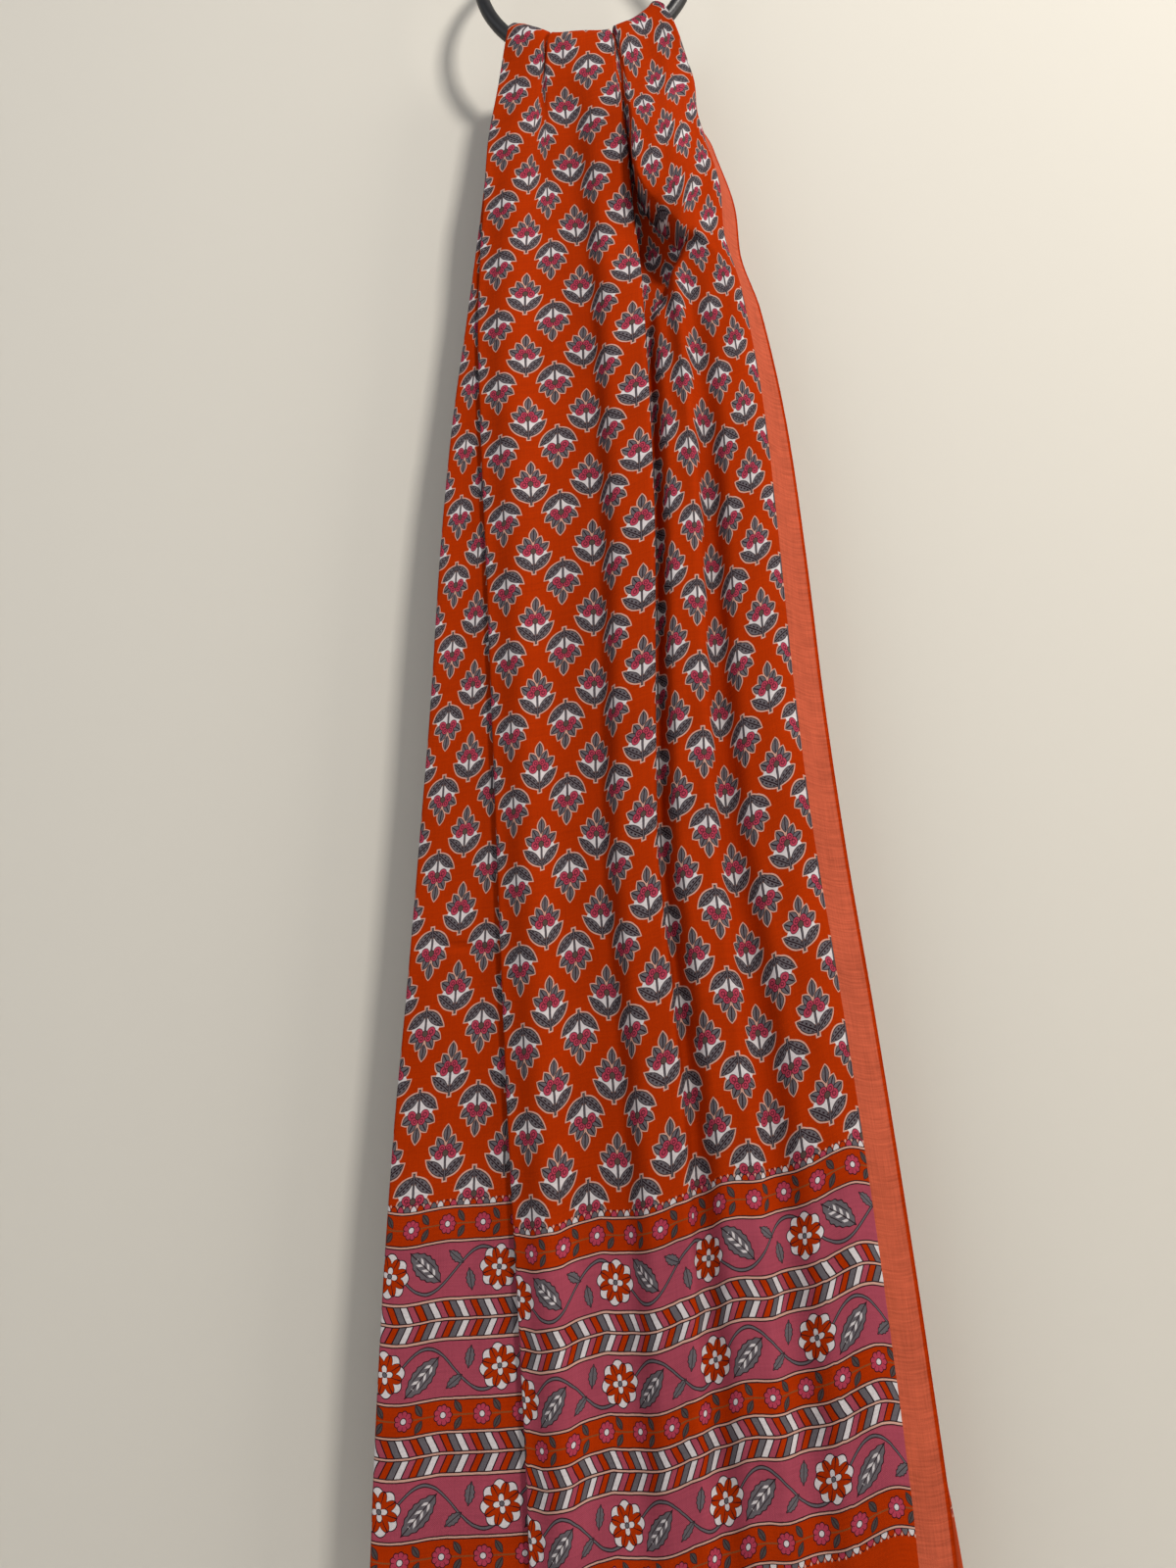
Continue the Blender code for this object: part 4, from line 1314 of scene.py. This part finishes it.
ring_plate = turned_part("ring_plate", PLATE_PROFILE)
ring_post = turned_part("ring_post", POST_PROFILE)
knuckle = turned_part("knuckle", KNUCKLE_PROFILE)
knuckle.data.transform(mathutils.Matrix.Translation((0.0, -RING_OFFSET, 0.0))
                       @ mathutils.Matrix.Rotation(math.pi / 2.0, 4, "Z"))
bore = ring_tube("bore", TUBE_RADIUS + FIT_GAP)
for other, operation in ((knuckle, "UNION"), (bore, "DIFFERENCE")):
    step = ring_post.modifiers.new(other.name, "BOOLEAN")
    step.operation = operation
    step.object = other
    step.solver = "EXACT"
ring_post.data = applied_mesh(ring_post)
ring_post.data.set_sharp_from_angle(angle=SHARP_ANGLE)
for other in (knuckle, bore):
    bpy.data.objects.remove(other)
for piece, node in ((wall_ring, "ring"), (ring_post, "post"), (ring_plate, "wall_plate")):
    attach(piece, "root")
    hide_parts(node)
print("ring set made")

# %% [markdown]
# Cotton shows its threads. A fine weave makes a tiny bump, thicker slub threads run across and
# along as faint streaks, and the dye lies a little unevenly. The same group serves the printed
# ground, the plain selvedge strip, where the slubs show most, and the hems. The printed side and
# the reverse share one recipe. The reverse is paler, because the paste is pressed in from one side.

# %% Weave and printed cotton
THREAD = 0.00055
SLUB_LONG = 38.0
SLUB_FINE = 760.0
MOTTLE_SCALE = 24.0
REVERSE_VEIL = dye(168, 84, 58)
MATT = 0.03

tree, (weave_place,) = make_group("cotton_weave", (("Place", VECTOR),),
                                  (("Height", NUMBER), ("Slub", NUMBER), ("Mottle", NUMBER)))
across, along = split(weave_place)
weft = noise(join(across * SLUB_LONG, along * SLUB_FINE), 1.0, 3.0)
warp = noise(join(across * SLUB_FINE, along * SLUB_LONG), 1.0, 3.0)
threads = (across * (math.pi / THREAD)).maths("SINE") * (along * (math.pi / THREAD)).maths("SINE")
mottle = noise(join(across, along), MOTTLE_SCALE, 3.0)
cotton_weave = end_group(tree, threads * 0.35 + weft + warp, weft * 0.62 + warp * 0.38, mottle)


def toned(colour, factor):
    """A colour made lighter or darker by a wire."""
    return wire(factor.tree, "ShaderNodeVectorMath", {0: colour, "Scale": factor}, operation="SCALE")


def make_printed(name, veil):
    """Printed cotton, with a pale veil over the print where it is seen from its reverse."""
    material, tree, shader = principled(name, {"Roughness": 0.82, "Specular IOR Level": MATT})
    place = wire(tree, "ShaderNodeUVMap", uv_map="cloth_place")
    colour, strip = use_group(tree, block_print, Place=place)
    height, slub, mottle = use_group(tree, cotton_weave, Place=place)
    tone = (slub - 0.5) * (strip * 0.9 + 0.5) + (mottle - 0.5) * 0.34 + 1.0
    paint = Paint(tree, toned(colour, tone))
    paint.lay(REVERSE_VEIL, veil)
    feed(shader.inputs["Base Color"], paint.colour)
    add_bump(shader, height, 0.35, 0.0004)
    return material


printed_cotton = make_printed("printed_cotton", 0.0)
printed_reverse = make_printed("printed_reverse", 0.35)
for shell in (front_cloth, back_cloth):
    shell.data.materials.append(printed_cotton)
    shell.data.materials.append(printed_reverse)
print("cloth painted")

# %% [markdown]
# The short ends are rolled twice to the inside and sewn with a running stitch, and the long edges
# end in a denser cord. The hem is an oval swept along the end of the cloth, and the stitches are
# small beads set at even steps on the same line. They pass through, so they show on both sides.

# %% Sewn edges
HEM_THICK = 0.0014
HEM_SIDES = 12
HEM_LINE = HEM_WIDTH / 2.0
CORD_RADIUS = 0.00045
CORD_SIDES = 8
STITCH_STEP = 0.0033
STITCH = (0.0011, 0.00022, 0.0010)
STITCH_LINE = HEM_WIDTH - 0.0008

hem_cotton, tree, shader = principled("hem_cotton", {"Roughness": 0.85, "Specular IOR Level": MATT})
height, slub, _ = use_group(tree, cotton_weave, Place=object_place(tree))
feed(shader.inputs["Base Color"], toned(ORANGE[:3], (slub - 0.5) * 0.9 + 0.92))
add_bump(shader, height, 0.4, 0.0004)

thread, tree, shader = principled("thread", {"Roughness": 0.7})
twist = noise(object_place(tree), 1400.0, 1.0)
feed(shader.inputs["Base Color"], toned(dye(176, 92, 56)[:3], twist * 0.5 + 0.75))
add_bump(shader, twist, 0.3, 0.0002)

tree, given, line = start_tree("swept_hem", (("Half thickness", LENGTH), ("Half width", LENGTH)))
upright = put(tree, "GeometryNodeSetCurveNormal", {"Curve": line}, mode="Z_UP")
circle = put(tree, "GeometryNodeCurvePrimitiveCircle", {"Resolution": HEM_SIDES, "Radius": 1.0})
size = put(tree, "ShaderNodeCombineXYZ", {"X": given["Half thickness"], "Y": given["Half width"], "Z": 1.0})
oval = put(tree, "GeometryNodeTransform", {"Geometry": circle, "Scale": size})
roll = put(tree, "GeometryNodeCurveToMesh", {"Curve": upright, "Profile Curve": oval, "Fill Caps": True})
swept_hem = end_tree(tree, given, roll)

tree, given, line = start_tree("stitch_row", (("Step", LENGTH),))
upright = put(tree, "GeometryNodeSetCurveNormal", {"Curve": line}, mode="Z_UP")
marks = put(tree, "GeometryNodeCurveToPoints", {"Curve": upright, "Length": given["Step"]}, mode="LENGTH")
bead = put(tree, "GeometryNodeMeshUVSphere", {"Segments": 8, "Rings": 5, "Radius": 1.0})
shaped = put(tree, "GeometryNodeTransform", {"Geometry": bead, "Scale": STITCH})
sockets = {"Points": marks, "Instance": shaped, "Rotation": marks.outputs["Rotation"]}
sewn = put(tree, "GeometryNodeInstanceOnPoints", sockets)
stitch_row = end_tree(tree, given, sewn)

HEM_SIZES = {"Half thickness": HEM_THICK / 2.0, "Half width": HEM_LINE, "Material": hem_cotton}
STITCH_SIZES = {"Step": STITCH_STEP, "Material": thread}
CORD_SIZES = {"Radius": CORD_RADIUS, "Sides": CORD_SIDES, "Material": hem_cotton}
hem_pieces = {"front_cloth": [], "back_cloth": []}
FALLS = (
    (front_cloth, front_points, front_along, HEM_LINE, STITCH_LINE),
    (back_cloth, back_points, back_along, STOLE_LENGTH - HEM_LINE, STOLE_LENGTH - STITCH_LINE),
)
for shell, points, along, hem_at, stitch_at in FALLS:
    side = shell.name.split("_")[0]
    hem_line = read_points(np.full(len(columns), hem_at), along, points)
    stitch_line = read_points(np.full(len(columns), stitch_at), along, points)
    hem_pieces[shell.name] += [
        grow(f"{side}_hem", swept_hem, hem_line, HEM_SIZES),
        grow(f"{side}_hem_stitches", stitch_row, stitch_line, STITCH_SIZES, outwards=False),
        grow(f"{side}_selvedge_b", swept_tube, points[:, 0], CORD_SIZES),
        grow(f"{side}_selvedge_a", swept_tube, points[:, -1], CORD_SIZES),
    ]
for pieces in hem_pieces.values():
    for piece in pieces:
        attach(piece, "root")
print("sewn edges:", sum(len(pieces) for pieces in hem_pieces.values()), "pieces")

# %% [markdown]
# Each shell keeps its place on the flat cloth in its UV. It is attached to the root, and the solid's cloth parts
# that it stands for are hidden. The two together are the whole cut of 1.00 by 2.30 m. The hems and the selvedge
# cords go with them.

FRONT_NODES = ("front_panel", "front_tuck", "front_band_a", "front_band_b", "front_hem_panel",
               "front_hem_tuck", "wrap_panel", "wrap_tuck", "wrap_band_a", "wrap_band_b")
BACK_NODES = ("back_panel", "back_tuck", "back_band_a", "back_band_b", "back_hem_panel",
              "back_hem_tuck")
for shell, nodes in ((front_cloth, FRONT_NODES), (back_cloth, BACK_NODES)):
    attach(shell, "root")
    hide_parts(*nodes)
